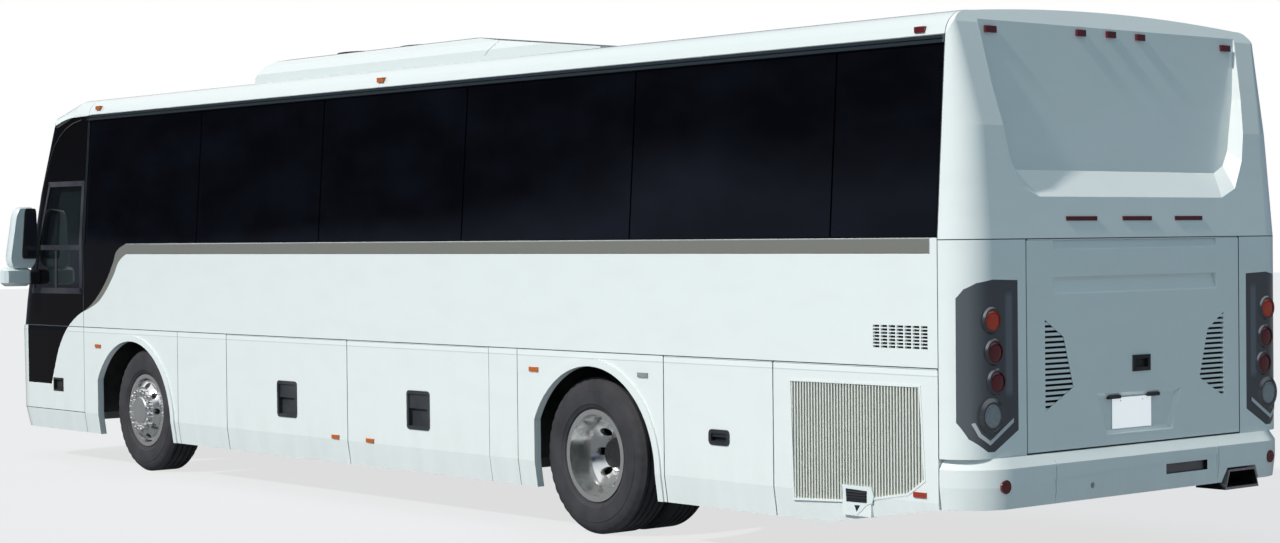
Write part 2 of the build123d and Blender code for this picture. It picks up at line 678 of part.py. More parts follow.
def rear_plan(setback, side, inset=0.0, corner=REAR_CORNER_R):
    back = REAR_X + setback + inset
    side, corner = side - inset, corner - inset
    start, across = back + corner, side - corner
    bend = corner * math.sqrt(0.5)
    seam = REAR_SEAM_X + 250
    edges = [
        Line((seam, -side), (seam, side)),
        Line((seam, side), (start, side)),
        ThreePointArc((start, side), (start - bend, across + bend), (back, across)),
        Line((back, across), (back, -across)),
        ThreePointArc((back, -across), (start - bend, -across - bend), (start, -side)),
        Line((start, -side), (seam, -side)),
    ]
    return make_face(edges)


def rear_solid():
    """The rear end of the body above the joint, before the roof's section trims it."""
    faces = []
    for d, z in REAR_RAKE:
        corner = min(REAR_CORNER_R, max(CAP_DEPTH - d, REAR_CORNER_LEAST))
        faces.append(Plane.XY.offset(z) * rear_plan(d, wall_y(z), corner=corner))
    return loft(faces, ruled=True)


rear_cap = rear_solid() & under_roof(0, REAR_X, REAR_SEAM_X + 250)
rear_cap &= block(REAR_X, REAR_SEAM_X, -HALF, HALF, REAR_JOINT_Z, ROOF_Z + 10)

# Recess in the rear cap: (across, height) of its lip and of its floor, on two raked planes that
# pass through two (distance ahead of the rear wall, height) places each.
LIP = ((HALF - 230, 2950), (HALF - 285, 2440), (HALF - 350, 2060), (HALF - 450, 1850), (HALF - 610, 1785))
LIP_PLANE = ((-60, 1850), (110, 2950))
FLOOR = ((HALF - 240, 2950), (HALF - 300, 2440), (HALF - 362, 2160), (HALF - 410, 2075), (HALF - 490, 2035))
FLOOR_PLANE = ((110, 1850), (165, 2950))


def raked(points, low, high):
    """Lifts a (y, z) outline on to the raked plane through two (distance, height) places."""
    slope = (high[0] - low[0]) / (high[1] - low[1])
    return [(ahead(low[0] + (z - low[1]) * slope), y, z) for y, z in points]


def raked_face(points, plane):
    return make_face(Polyline(*raked(symmetric(points), *plane), close=True))


recess = loft([raked_face(LIP, LIP_PLANE), raked_face(FLOOR, FLOOR_PLANE)], ruled=True)
nodes["rear_cap"] = rear_cap - recess

post_plan = extrude(Plane.XY.offset(BUMPER_TOP_Z) * rear_plan(0, HALF), amount=REAR_JOINT_Z - BUMPER_TOP_Z)
posts = post_plan & block(REAR_X, REAR_SEAM_X, ENGINE_DOOR_HALF + GAP, HALF, 0, REAR_JOINT_Z)
# Tail lamp cluster, (across, height) as seen from behind: its outline, its round lamps and the
# bright strip along its foot.
TAIL_OUTLINE = (
    (HALF - 370, 1488),
    (HALF - 190, 1494),
    (HALF - 95, 1478),
    (HALF - 45, 1448),
    (HALF - 23, 1405),
    (HALF - 22, 800),
    (HALF - 60, 720),
    (HALF - 150, 654),
    (HALF - 195, 652),
    (HALF - 370, 750),
)
TAIL_LAMPS = ((HALF - 182, 1294, 50), (HALF - 198, 1139, 50), (HALF - 213, 993, 50), (HALF - 178, 828, 60))
TAIL_LAMP_RIM = 10.0
TAIL_LAMP_OUT = 9.0
TAIL_STRIP = (
    (HALF - 66, 795),
    (HALF - 98, 730),
    (HALF - 160, 686),
    (HALF - 330, 790),
    (HALF - 330, 812),
    (HALF - 160, 708),
    (HALF - 110, 745),
    (HALF - 82, 800),
)
TAIL_DEPTH = 25.0
POST_Z = (BUMPER_TOP_Z, REAR_JOINT_Z)


def post_skin(out, depth):
    """A skin of the rear corners, from out in front of their surface to a depth behind it."""
    height = POST_Z[1] - POST_Z[0]
    outer = extrude(Plane.XY.offset(POST_Z[0]) * rear_plan(0, HALF, -out), amount=height)
    inner = extrude(Plane.XY.offset(POST_Z[0] - 1) * rear_plan(0, HALF, depth), amount=height + 2)
    return outer - inner


tail_zone = prism_x(TAIL_OUTLINE, REAR_X - 20, REAR_X + REAR_CORNER_R)
posts -= post_skin(1, TAIL_DEPTH) & tail_zone
tail = post_skin(0, TAIL_DEPTH - SEAM) & tail_zone
for y, z, radius in TAIL_LAMPS:
    tail += rod("x", radius + TAIL_LAMP_RIM, (REAR_X - TAIL_LAMP_OUT, y, z), TAIL_LAMP_OUT + TAIL_DEPTH - 5)
for y, z, radius in TAIL_LAMPS:
    tail -= rod("x", radius, (REAR_X - TAIL_LAMP_OUT - 1, y, z), TAIL_LAMP_OUT - 3)
tail += post_skin(5, 5) & prism_x(TAIL_STRIP, REAR_X - 20, REAR_X + REAR_CORNER_R)
nodes["rear_corners"] = group(posts, right(posts))
nodes["tail_lamps"] = group(tail, right(tail))

# Engine door.
DOOR_TOP = REAR_JOINT_Z - GAP
engine_door = block(
    REAR_X, REAR_X + PANEL + 20, -ENGINE_DOOR_HALF, ENGINE_DOOR_HALF, BUMPER_TOP_Z + GAP, DOOR_TOP
)
bevel = ((REAR_X - 1, 1636), (REAR_X, 1636), (REAR_X + 12, DOOR_TOP + 1), (REAR_X - 1, DOOR_TOP + 1))
engine_door -= prism_y(bevel, -660, 660)
ledge = ((REAR_X - 1, 1412), (REAR_X, 1412), (REAR_X + 22, 1478), (REAR_X + 22, 1497), (REAR_X - 1, 1497))
engine_door -= prism_y(ledge, -660, 660)

# Vents in the engine door: (across, height) corners, and the number of blades over the height.
REAR_VENT = ((725, 1285), (585, 1195), (512, 940), (725, 829))
REAR_VENT_DEPTH = 22.0
BLADES = 17
vent = prism_x(REAR_VENT, REAR_X - 1, REAR_X + REAR_VENT_DEPTH)
vents = [vent, right(vent)]
engine_door -= vents
blades = []
for i in range(BLADES):
    pitch = (REAR_VENT[0][1] - REAR_VENT[3][1]) / BLADES
    z = REAR_VENT[3][1] + i * pitch
    blade = (
        (REAR_X + 2, z),
        (REAR_X + REAR_VENT_DEPTH + 1, z + 6),
        (REAR_X + REAR_VENT_DEPTH + 1, z + pitch * 0.85),
        (REAR_X + 2, z + pitch * 0.55),
    )
    cut = prism_y(blade, 500, 730) & vent
    blades += cut.solids() + right(cut).solids()
engine_door += blades

# Camera and handle box, plate recess, plate and plate lamps on the engine door.
BOX = (-24.0, 1040.0, 70.0, 42.0, 8.0)  # across, up, half-width, half-height, how far it stands out
BOX_RIM = 20.0


def box_at(margin, x0, x1):
    y, z, half, high, _ = BOX
    return block(x0, x1, y - half + margin, y + half - margin, z - high + margin, z + high - margin)


engine_door += box_at(0, REAR_X - BOX[4], REAR_X + 5)
engine_door -= box_at(BOX_RIM, REAR_X - BOX[4] - 1, REAR_X + 12)
RECESS = (-14.0, 788.0, 342.0, 106.0, 76.0, 25.0)  # across, up, half-width, half-height, taper, depth
PLATE_HALF = (158.0, 80.0)
PLATE_AT = (30.0, 786.0)
PLATE_HOLES = 178.0  # between the two bolt holes over the plate's middle
PLATE_HOLE_R = 3.5
PLATE_HOLE_UP = 63.0  # of the bolt holes over the plate's middle


def recess_outline(shrink):
    y, z, half, high, taper, _ = RECESS
    half, high = half - shrink, high - shrink
    foot = half - taper
    return [(y + half, z + high), (y - half, z + high), (y - foot, z - high), (y + foot, z - high)]


recess_faces = [
    Plane.YZ.offset(x) * make_face(Polyline(*recess_outline(shrink), close=True))
    for x, shrink in ((REAR_X - 5, -5), (REAR_X + RECESS[5], 25))
]
engine_door -= loft(recess_faces, ruled=True)
PLATE_X = REAR_X + RECESS[5] - 6
PLATE_LAMP = (46.0, 74.0, 92.0)  # half-width, and its foot and top over the recess's middle
engine_door += block(
    PLATE_X,
    PLATE_X + 8,
    PLATE_AT[0] - PLATE_HALF[0],
    PLATE_AT[0] + PLATE_HALF[0],
    PLATE_AT[1] - PLATE_HALF[1],
    PLATE_AT[1] + PLATE_HALF[1],
)
for side in (1, -1):
    hole = (PLATE_X - 1, PLATE_AT[0] + side * PLATE_HOLES / 2, PLATE_AT[1] + PLATE_HOLE_UP)
    engine_door -= rod("x", PLATE_HOLE_R, hole, 19)
    y = PLATE_AT[0] - 7 + side * PLATE_HALF[0]
    half, foot, top = PLATE_LAMP
    engine_door += block(REAR_X + 2, REAR_X + 24, y - half, y + half, RECESS[1] + foot, RECESS[1] + top)
nodes["engine_door"] = engine_door
hinge_start = (REAR_X + HINGE_R, -ENGINE_DOOR_HALF + GAP, REAR_JOINT_Z - HINGE_R + SEAM)
nodes["rear_cap"] += rod("y", HINGE_R, hinge_start, 2 * (ENGINE_DOOR_HALF - GAP))

# Rear bumper.
BUMPER_CORNER_R = 270.0
BUMPER_ROWS = ((BUMPER_LOW_Z, 14), (480, 0), (568, 0), (BUMPER_TOP_Z, 34))  # height, how far in


def bumper_face(z, inset):
    return Plane.XY.offset(z) * rear_plan(-BUMPER_PROUD, HALF, inset, BUMPER_CORNER_R)


rear_bumper = loft([bumper_face(*row) for row in BUMPER_ROWS], ruled=True)
rear_bumper -= extrude(bumper_face(BUMPER_LOW_Z - 1, 62), amount=BUMPER_TOP_Z - BUMPER_LOW_Z + 2)
rear_bumper &= block(REAR_X - BUMPER_PROUD, REAR_SEAM_X, -HALF, HALF, 0, BUMPER_TOP_Z)
BUMPER_SLOT = (-519.0, -172.0, 451.0, 504.0)  # its sides, foot and top
BUMPER_STEP = ((770, 360), (725, 492), (-600, 528), (-600, 360))  # lower, shallower middle part
BUMPER_JOINTS = (700.0, -612.0)
bumper_x = REAR_X - BUMPER_PROUD
rear_bumper -= prism_x(BUMPER_STEP, bumper_x - 1, bumper_x + 6)
y0, y1, z0, z1 = BUMPER_SLOT
rear_bumper -= block(bumper_x - 1, bumper_x + 24, y0, y1, z0, z1)
for y in BUMPER_JOINTS:
    rear_bumper -= block(bumper_x - 1, bumper_x + 14, y - 3, y + 3, BUMPER_LOW_Z - 1, BUMPER_TOP_Z + 1)
REAR_TOW = (bumper_x + 6, 420.0, 440.0)
rear_bumper -= rod("x", TOW_R, (REAR_TOW[0] - 1, *REAR_TOW[1:]), 46)
# Tail pipe in a notch in the bumper's lower edge: (across, height).
PIPE_Y = -(HALF - 480)
TAIL_PIPE = ((PIPE_Y + 147, 328), (PIPE_Y - 147, 328), (PIPE_Y - 115, 436), (PIPE_Y + 115, 436))
NOTCH = ((159, 320), (-159, 320), (-159, 380), (-123, 446), (123, 446), (159, 380))
rear_bumper -= prism_x([(PIPE_Y + dy, z) for dy, z in NOTCH], bumper_x - 1, REAR_X + 120)
nodes["rear_bumper"] = rear_bumper

# ---- Marker lamps ----
ROOF_LAMPS = ((ahead(361), 2728), (MIDDLE_X - 124, 2744), (behind(1514), 2745))  # place along, height
SKIRT_LAMPS = ((ahead(2478), 945), (ahead(3501), 942), (behind(1603), 920))
# On the rear face: across, height, half-width and half-height.
REAR_LAMPS = (
    (432, 1790, 118, 11),
    (-9, 1790, 116, 11),
    (-436, 1790, 114, 11),
    (948, 2730, 40, 17),
    (262, 2745, 34, 17),
    (22, 2748, 34, 17),
    (-218, 2745, 34, 17),
    (-948, 2722, 40, 17),
)
RECESS_LAMP_X = ahead(146)  # floor of the recess behind the upper lamps
side_markers = []
for x, z in ROOF_LAMPS:
    side_markers.append(block(x - 35, x + 35, wall_y(z) - 40, wall_y(z) + 8, z - 15, z + 15))
markers = side_markers + [right(m) for m in side_markers]
low_rake = REAR_RAKE[1][0] / (REAR_RAKE[1][1] - REAR_JOINT_Z)
for y, z, half, high in REAR_LAMPS:
    x = RECESS_LAMP_X if z > REAR_RAKE[1][1] else REAR_X + low_rake * (z - REAR_JOINT_Z)
    markers.append(block(x - 6, x + 14, y - half, y + half, z - high, z + high))
lamps = []
for marker in markers:
    lamps += (marker - nodes["roof"] - nodes["rear_cap"] - nodes["front_cap"]).solids()
for x, z in SKIRT_LAMPS:
    lamps += [lens(x, z), right(lens(x, z))]
REFLECTOR = (HALF - 225, 482.0, 34.0)  # on the rear bumper: across, up, radius
for side in (1, -1):
    disc = rod("x", REFLECTOR[2], (bumper_x, side * REFLECTOR[0], REFLECTOR[1]), 60)
    lamps += (disc - rear_bumper).solids()
nodes["marker_lamps"] = group(*lamps)

# ---- Floors and steps: plain plates that stand on one another ----
inside = HALF - WALL
cab_side = inside - 15
STAIR_IN = HALF - 675
STAIR_X = (behind(1260), behind(500))
CAB_FRONT_X = behind(450)
FLOOR_PLATE = 40.0
TREAD = 30.0
TREAD_Y = (HALF - 60, HALF - 370)  # outer edges of the two treads
TREAD_Z = (370.0, 570.0)
cab_z = (CAB_Z - FLOOR_PLATE, CAB_Z)
floors = [
    block(REAR_SEAM_X + 20, FRONT_SEAM_X, -inside, inside, DECK_Z - DECK, DECK_Z),
    block(FRONT_SEAM_X - FLOOR_PLATE, FRONT_SEAM_X, -cab_side, cab_side, CAB_Z - FLOOR_PLATE, DECK_Z - DECK),
    block(FRONT_SEAM_X, STAIR_X[0], -cab_side, cab_side, *cab_z),
    block(STAIR_X[0], CAB_FRONT_X, -STAIR_IN, cab_side, *cab_z),
    block(STAIR_X[1], CAB_FRONT_X, -cab_side, -STAIR_IN, *cab_z),
    block(*STAIR_X, -TREAD_Y[0], -TREAD_Y[1], TREAD_Z[0] - TREAD, TREAD_Z[0]),
    block(*STAIR_X, -TREAD_Y[1], -TREAD_Y[1] + TREAD, TREAD_Z[0] - TREAD, TREAD_Z[1] - TREAD),
    block(*STAIR_X, -TREAD_Y[1], -STAIR_IN, TREAD_Z[1] - TREAD, TREAD_Z[1]),
    block(*STAIR_X, -STAIR_IN, -STAIR_IN + TREAD, TREAD_Z[1] - TREAD, CAB_Z - FLOOR_PLATE),
]
nodes["floor_deck"] = group(*floors)

bay_y = HALF - PANEL - TUCK - 6
bay_ends = (REAR_LOCKER_X + 10, FRONT_PLAIN_X - 10)
bay = [block(*bay_ends, -bay_y, bay_y, BAY_FLOOR_Z - TREAD, BAY_FLOOR_Z)]
for x in (bay_ends[0], FRONT_LOCKER_X - TREAD / 2, bay_ends[1] - TREAD):
    bay.append(block(x, x + TREAD, -bay_y, bay_y, BAY_FLOOR_Z, DECK_Z - DECK))
nodes["luggage_bay"] = group(*bay)

# ---- Underframe with the wheel housings and the fuel tank: plain beams and plates ----
RAIL_Y = (400.0, 500.0)
RAIL_Z = (740.0, 880.0)
CAB_RAIL_Z = 560.0
HOUSING_Y = WHEEL_Y - 518
frame_y = HALF - PANEL - 20  # outer ends of the cross pieces
rails = [
    block(REAR_X + 60, bay_ends[0], *RAIL_Y, *RAIL_Z),
    block(bay_ends[1], behind(1400), *RAIL_Y, *RAIL_Z),
    block(behind(1450), behind(1400), *RAIL_Y, CAB_RAIL_Z, RAIL_Z[0]),
    block(behind(1400), behind(140), *RAIL_Y, CAB_RAIL_Z, CAB_Z - FLOOR_PLATE),
]
cross_x = (ahead(250), SERVICE_DOOR_X, REAR_ARCH_X + 20, REAR_PLAIN_X - 50)
cross_x += (FRONT_PLAIN_X + 10, FRONT_ARCH_X + 10, behind(1450))
for x0, x1 in ((REAR_ARCH_X + 20, REAR_PLAIN_X - 50), (FRONT_ARCH_X + 10, behind(1450))):
    rails.append(block(x0 + TREAD, x1, HOUSING_Y - 20, HOUSING_Y, RAIL_Z[0], DECK_Z - DECK))
    for x in (x0, x1):
        rails.append(block(x, x + TREAD, HOUSING_Y - 20, frame_y - 20, KNEE_Z, RAIL_Z[1]))
underframe = rails + [right(piece) for piece in rails]
for x in cross_x:
    underframe.append(block(x, x + TREAD, -frame_y, frame_y, RAIL_Z[1], DECK_Z - DECK))
TANK_Y = HALF - 195
underframe.append(block(FRONT_PLAIN_X + 60, FRONT_ARCH_X - 20, -TANK_Y, TANK_Y, 380, RAIL_Z[0]))
nodes["underframe"] = group(*underframe)

nodes["engine_block"] = block(ahead(350), ahead(1350), -RAIL_Y[0], RAIL_Y[0], 420, 960)
PIPE_R = 45.0
PIPE_BEND_X = ahead(600)
exhaust = prism_x(TAIL_PIPE, bumper_x, REAR_X + 150)
bore = [(PIPE_Y + (y - PIPE_Y) * 0.93, z + (14 if z < 380 else -12)) for y, z in TAIL_PIPE]
exhaust -= prism_x(bore, bumper_x - 1, REAR_X + 130)
exhaust += rod("x", PIPE_R, (REAR_X + 140, PIPE_Y, 390), PIPE_BEND_X + PIPE_R - REAR_X - 140)
exhaust += rod("y", PIPE_R, (PIPE_BEND_X, PIPE_Y, 430), -PIPE_Y - RAIL_Y[0])
nodes["exhaust_pipe"] = exhaust


# ---- Axles ----
KINGPIN_Y = WHEEL_Y - 183
KINGPIN_R = 28.0
EYE_R = 48.0
RUN_FIT = 0.4
BEAM_Z = WHEEL_Z
SPRING_R = 100.0
SPRING_Y = sum(RAIL_Y) / 2

axle_x = (FRONT_AXLE_X - 45, FRONT_AXLE_X + 45)
beam = block(*axle_x, -KINGPIN_Y, KINGPIN_Y, BEAM_Z - 60, BEAM_Z + 60)
for sign in (1, -1):
    beam += rod("z", EYE_R, (FRONT_AXLE_X, sign * KINGPIN_Y, BEAM_Z - 85), 170)
for sign in (1, -1):
    beam -= rod("z", KINGPIN_R + RUN_FIT, (FRONT_AXLE_X, sign * KINGPIN_Y, BEAM_Z - 100), 200)
    beam += rod("z", SPRING_R, (FRONT_AXLE_X, sign * SPRING_Y, BEAM_Z + 60), RAIL_Z[0] - BEAM_Z - 60)
nodes["front_axle"] = beam

SPINDLE_R = 40.0
knuckle = rod("z", KINGPIN_R, (FRONT_AXLE_X, KINGPIN_Y, BEAM_Z - 112), 224)
for z in (BEAM_Z - 112, BEAM_Z + 87):
    knuckle += rod("z", EYE_R, (FRONT_AXLE_X, KINGPIN_Y, z), 25)
    knuckle += block(*axle_x, KINGPIN_Y, KINGPIN_Y + 70, z, z + 25)
knuckle += block(*axle_x, KINGPIN_Y + 52, KINGPIN_Y + 72, BEAM_Z - 112, BEAM_Z + 112)
knuckle += rod("y", SPINDLE_R, (FRONT_AXLE_X, KINGPIN_Y + 60, WHEEL_Z), 200)
nodes["left_knuckle"] = knuckle
nodes["right_knuckle"] = right(knuckle)

SPINDLE_TIP = KINGPIN_Y + 260
TUBE_Y = WHEEL_Y - 488  # end of the rear axle's tube
REAR_TIP = WHEEL_Y - 208  # end of its spindle, inside the hub
rear_axle = rod("y", 75, (REAR_AXLE_X, -TUBE_Y, WHEEL_Z), 2 * TUBE_Y)
rear_axle += rod("y", SPINDLE_R, (REAR_AXLE_X, -REAR_TIP, WHEEL_Z), 2 * REAR_TIP)
rear_axle += rod("y", 190, (REAR_AXLE_X, -150, WHEEL_Z), 300)
for sign in (1, -1):
    rear_axle += rod("z", SPRING_R, (REAR_AXLE_X, sign * SPRING_Y, WHEEL_Z), RAIL_Z[0] - WHEEL_Z)
nodes["rear_axle"] = rear_axle


# ---- Wheels, turned about the y axis: (radius, place across the wheel) ----
def turned(outline):
    return revolve(make_face(outline), axis=Axis.Y)


def closed(points):
    return Polyline(*points, close=True)


def tyre():
    bead = RIM_W / 2 - 11
    seat = BARREL_R + RUN_FIT
    edges = [
        Line((seat, -bead), (RIM_R + 3, -bead)),
        ThreePointArc((RIM_R + 3, -bead), (350, -TYRE_W / 2), (TYRE_R - 22, -TYRE_W / 2 + 16)),
        Line((TYRE_R - 22, -TYRE_W / 2 + 16), (TYRE_R, -TYRE_W / 2 + 40)),
        Line((TYRE_R, -TYRE_W / 2 + 40), (TYRE_R, TYRE_W / 2 - 40)),
        Line((TYRE_R, TYRE_W / 2 - 40), (TYRE_R - 22, TYRE_W / 2 - 16)),
        ThreePointArc((TYRE_R - 22, TYRE_W / 2 - 16), (350, TYRE_W / 2), (RIM_R + 3, bead)),
        Line((RIM_R + 3, bead), (seat, bead)),
        Line((seat, bead), (seat, -bead)),
    ]
    return turned(edges)


def rim_barrel():
    edge, lip = RIM_W / 2, RIM_W / 2 - 10
    return turned(
        closed(
            (
                (BARREL_R - 12, -edge),
                (RIM_R, -edge),
                (RIM_R, -lip),
                (BARREL_R, -lip),
                (BARREL_R, lip),
                (RIM_R, lip),
                (RIM_R, edge),
                (BARREL_R - 12, edge),
            )
        )
    )


HAND_HOLES = 10


def hand_holes(radius, hole_r):
    """Rods through the disc, to be cut from it."""
    holes = []
    for i in range(HAND_HOLES):
        turn = 2 * math.pi * i / HAND_HOLES
        holes.append(rod("y", hole_r, (radius * math.cos(turn), -200, radius * math.sin(turn)), 400))
    return holes


# Wheel discs: (radius, place across the wheel). The rear ones count from the bolting face inside
# a radius of 180.
FRONT_DISC = (
    (BARREL_R - 5, 40),
    (BARREL_R - 5, 56),
    (215, 118),
    (178, 150),
    (0, 150),
    (0, 134),
    (172, 134),
    (208, 104),
)
REAR_DISC = (
    (BARREL_R - 5, -30),
    (BARREL_R - 5, -50),
    (215, -100),
    (175, 0),
    (0, 0),
    (0, 18),
    (165, 18),
    (205, -85),
)
NUTS = 10
NUT_RING_R = 142.0
NUT_R = 16.0


def nuts(face_y, height):
    """Wheel nuts, standing out of the disc."""
    ring = []
    for i in range(NUTS):
        turn = 2 * math.pi * (i + 0.5) / NUTS
        place = (NUT_RING_R * math.cos(turn), face_y - 5, NUT_RING_R * math.sin(turn))
        ring.append(rod("y", NUT_R, place, height + 5))
    return ring


def front_rim():
    disc = turned(closed(FRONT_DISC))
    for hole in hand_holes(192, 24):
        disc -= hole
    hub = turned(closed(((0, -60), (105, -60), (105, 165), (97, 174), (0, 174))))
    drum = turned(closed(((0, -88), (190, -88), (190, 10), (0, 10))))
    bore = rod("y", SPINDLE_R + RUN_FIT, (0, -100, 0), SPINDLE_TIP - WHEEL_Y + 100 + 5)
    return rim_barrel() + disc + hub + drum + nuts(150, 26) - bore


def twin_rims():
    """Outer and inner rim, bolted face to face, with their hub."""
    half = TWIN_SPACING / 2
    disc = turned(closed([(r, y - half if r < 180 else y) for r, y in REAR_DISC]))
    for hole in hand_holes(196, 24):
        disc -= hole
    outer = Pos(0, half, 0) * (rim_barrel() + disc)
    inner = mirror(outer, about=Plane.XZ)
    hub = turned(closed(((0, -190), (100, -190), (100, 90), (80, 130), (0, 140))))
    bore = rod("y", SPINDLE_R + RUN_FIT, (0, -191, 0), 191 + REAR_TIP - (WHEEL_Y - half) + 5)
    return outer + inner + hub + nuts(18, 34) - bore


front_place = Pos(FRONT_AXLE_X, WHEEL_Y, WHEEL_Z)
twin_place = Pos(REAR_AXLE_X, WHEEL_Y - TWIN_SPACING / 2, WHEEL_Z)
left_pieces = {
    "front_left_rim": front_place * front_rim(),
    "front_left_tyre": front_place * tyre(),
    "rear_left_rims": twin_place * twin_rims(),
    "rear_left_tyres": group(*[twin_place * Pos(0, s * TWIN_SPACING / 2, 0) * tyre() for s in (1, -1)]),
}
for name, shape in left_pieces.items():
    nodes[name] = shape
    mirrored = [right(solid) for solid in shape.solids()]
    nodes[name.replace("left", "right")] = group(*mirrored)

# ---- Seats: a foot, a cushion and a back each, as (forward, up) outlines ----
SEAT_ROWS = 10
FIRST_ROW_X = ahead(900)
LAST_ROW_X = behind(2600)
AISLE = 330.0
SEAT_GAP = 60.0  # between a seat and the wall
SEAT_PARTS = (
    ((60, 0), (380, 0), (380, 300), (60, 300)),
    ((60, 300), (380, 300), (470, 310), (470, 430), (90, 400), (0, 330)),
    ((0, 330), (90, 400), (-40, 1000), (-120, 990)),
)


def seat(x, floor_z, y0, y1, scale=1.0):
    return [prism_y([(x + dx * scale, floor_z + dz) for dx, dz in part], y0, y1) for part in SEAT_PARTS]


seats = []
for row in range(SEAT_ROWS):
    x = between(FIRST_ROW_X, LAST_ROW_X, row / (SEAT_ROWS - 1))
    pair = seat(x, DECK_Z, AISLE, inside - SEAT_GAP)
    seats += pair + [right(piece) for piece in pair]
seats += seat(behind(1260), CAB_Z, HALF - 895, HALF - 395, 0.9)
nodes["seats"] = group(*seats)

# ---- Driver's station ----
DASH = ((700, CAB_Z), (470, CAB_Z), (470, 1220), (550, 1260), (700, 1200))  # behind the nose, height
dash = prism_y([(behind(d), z) for d, z in DASH], -(HALF - 735), HALF - 195)
WHEEL_PLACE = Pos(behind(810), HALF - 645, 1340) * Rot(0, -25, 0)
HAND_R = 215.0
spokes = Cylinder(14, 2 * HAND_R - 30, rotation=(90, 0, 0)) + Cylinder(60, 30)
hand_wheel = WHEEL_PLACE * (Torus(HAND_R, 15) + spokes)
column = WHEEL_PLACE * rod("z", 30, (0, 0, -420), 405)
nodes["driver_station"] = group(dash, hand_wheel, column - dash)

# ---- Mirrors: an arm and a head, beside the driver's window and ahead of the passenger door ----
MIRROR_OUT = HALF + 295
HEAD_Y = (HALF + 25, HALF + 205)
HEAD_Z = (1510.0, 2000.0)
ARM_LOW_Z = 1370.0
LEFT_MIRROR = (behind(640), behind(500))
RIGHT_MIRROR = (behind(478), behind(358))


def mirror_pieces(x0, x1):
    arm = block(x0 + 15, x1, HALF - 60, MIRROR_OUT, ARM_LOW_Z, HEAD_Z[0])
    arm = fillet(arm.edges().filter_by(Axis.X).group_by(Axis.Y)[-1], 30)
    head = block(x0, x1, *HEAD_Y, *HEAD_Z)
    head = fillet(head.edges().filter_by(Axis.X).group_by(Axis.Z)[-1], 40)
    return [(arm - outer_nose).solids().sort_by(Axis.Y)[-1], head]


nodes["mirrors"] = group(*mirror_pieces(*LEFT_MIRROR), *[right(p) for p in mirror_pieces(*RIGHT_MIRROR)])

for name, shape in nodes.items():
    export_step(shape, f"parts/{name}.step")
print(len(nodes), "nodes written")
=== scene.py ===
import math
from functools import partial, partialmethod, reduce

import bpy
from mathutils import Matrix, Vector
from mathutils.bvhtree import BVHTree


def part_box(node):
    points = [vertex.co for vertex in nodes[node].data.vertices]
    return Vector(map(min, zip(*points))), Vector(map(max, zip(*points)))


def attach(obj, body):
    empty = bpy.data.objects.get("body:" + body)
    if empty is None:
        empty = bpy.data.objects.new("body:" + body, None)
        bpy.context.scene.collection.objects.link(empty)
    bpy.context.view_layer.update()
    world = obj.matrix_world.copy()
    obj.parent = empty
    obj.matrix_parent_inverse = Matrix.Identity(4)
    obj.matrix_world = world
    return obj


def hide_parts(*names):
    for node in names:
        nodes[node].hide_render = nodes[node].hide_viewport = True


# The looks of a coach bus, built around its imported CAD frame. +X is forward, +Y is left and +Z is
# up, in metres.

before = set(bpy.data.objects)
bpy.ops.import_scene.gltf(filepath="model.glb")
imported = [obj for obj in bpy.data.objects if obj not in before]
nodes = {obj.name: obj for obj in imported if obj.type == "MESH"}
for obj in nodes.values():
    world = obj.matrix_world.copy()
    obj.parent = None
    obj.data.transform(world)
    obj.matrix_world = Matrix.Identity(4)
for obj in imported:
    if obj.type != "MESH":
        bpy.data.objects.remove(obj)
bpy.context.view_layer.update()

# ---- Driving sizes, as in the CAD ----
LENGTH = 10.75
HALF = 1.295  # half of the width over the side walls
NOSE_X = LENGTH / 2
REAR_X = 0.05 - LENGTH / 2  # the rear wall; the bumper stands behind it
REAR_SEAM_X = REAR_X + 0.19
BELT_Z = 1.70  # lower edge of the window band
PANEL_TOP_Z = 1.06
MOULDING_Z = (1.622, 1.698)
RAIL_Z = (2.655, 2.699)
VENT_FLOOR = 0.022


def part_way(start, end, share):
    return start + (end - start) * share


def new_object(name, data):
    """A new object in the scene."""
    made = bpy.data.objects.new(name, data)
    bpy.context.scene.collection.objects.link(made)
    return made


def ahead(distance):
    """A place along the body, given as its distance ahead of the rear wall."""
    return REAR_X + distance


def behind(distance):
    """A place along the body, given as its distance behind the nose."""
    return NOSE_X - distance


# ---- Camera and light ----
CAMERA_AT = (-13.140, 9.592, 1.721)
CAMERA_YAW = math.radians(-42.699)
CAMERA_PITCH = math.radians(-0.893)
CAMERA_ROLL = math.radians(-0.539)
FOCAL_PX = 2362.0
FRAME_PX = 1280.0
CENTRE_PX = 800.0  # the photograph is a crop, so its optical centre lies right of the middle


def make_camera():
    data = bpy.data.cameras.new("camera")
    camera = new_object("camera", data)
    cos_yaw, sin_yaw = math.cos(CAMERA_YAW), math.sin(CAMERA_YAW)
    cos_pitch, sin_pitch = math.cos(CAMERA_PITCH), math.sin(CAMERA_PITCH)
    forward = Vector((cos_yaw * cos_pitch, sin_yaw * cos_pitch, sin_pitch))
    level = Vector((sin_yaw, -cos_yaw, 0))
    upright = level.cross(forward)
    side = math.cos(CAMERA_ROLL) * level + math.sin(CAMERA_ROLL) * upright
    up = math.cos(CAMERA_ROLL) * upright - math.sin(CAMERA_ROLL) * level
    turn = Matrix((side, up, -forward)).transposed()
    camera.matrix_world = Matrix.Translation(CAMERA_AT) @ turn.to_4x4()
    data.sensor_width = 36.0
    data.lens = FOCAL_PX / FRAME_PX * data.sensor_width
    data.shift_x = (FRAME_PX / 2 - CENTRE_PX) / FRAME_PX
    data.clip_end = 200
    bpy.context.scene.camera = camera


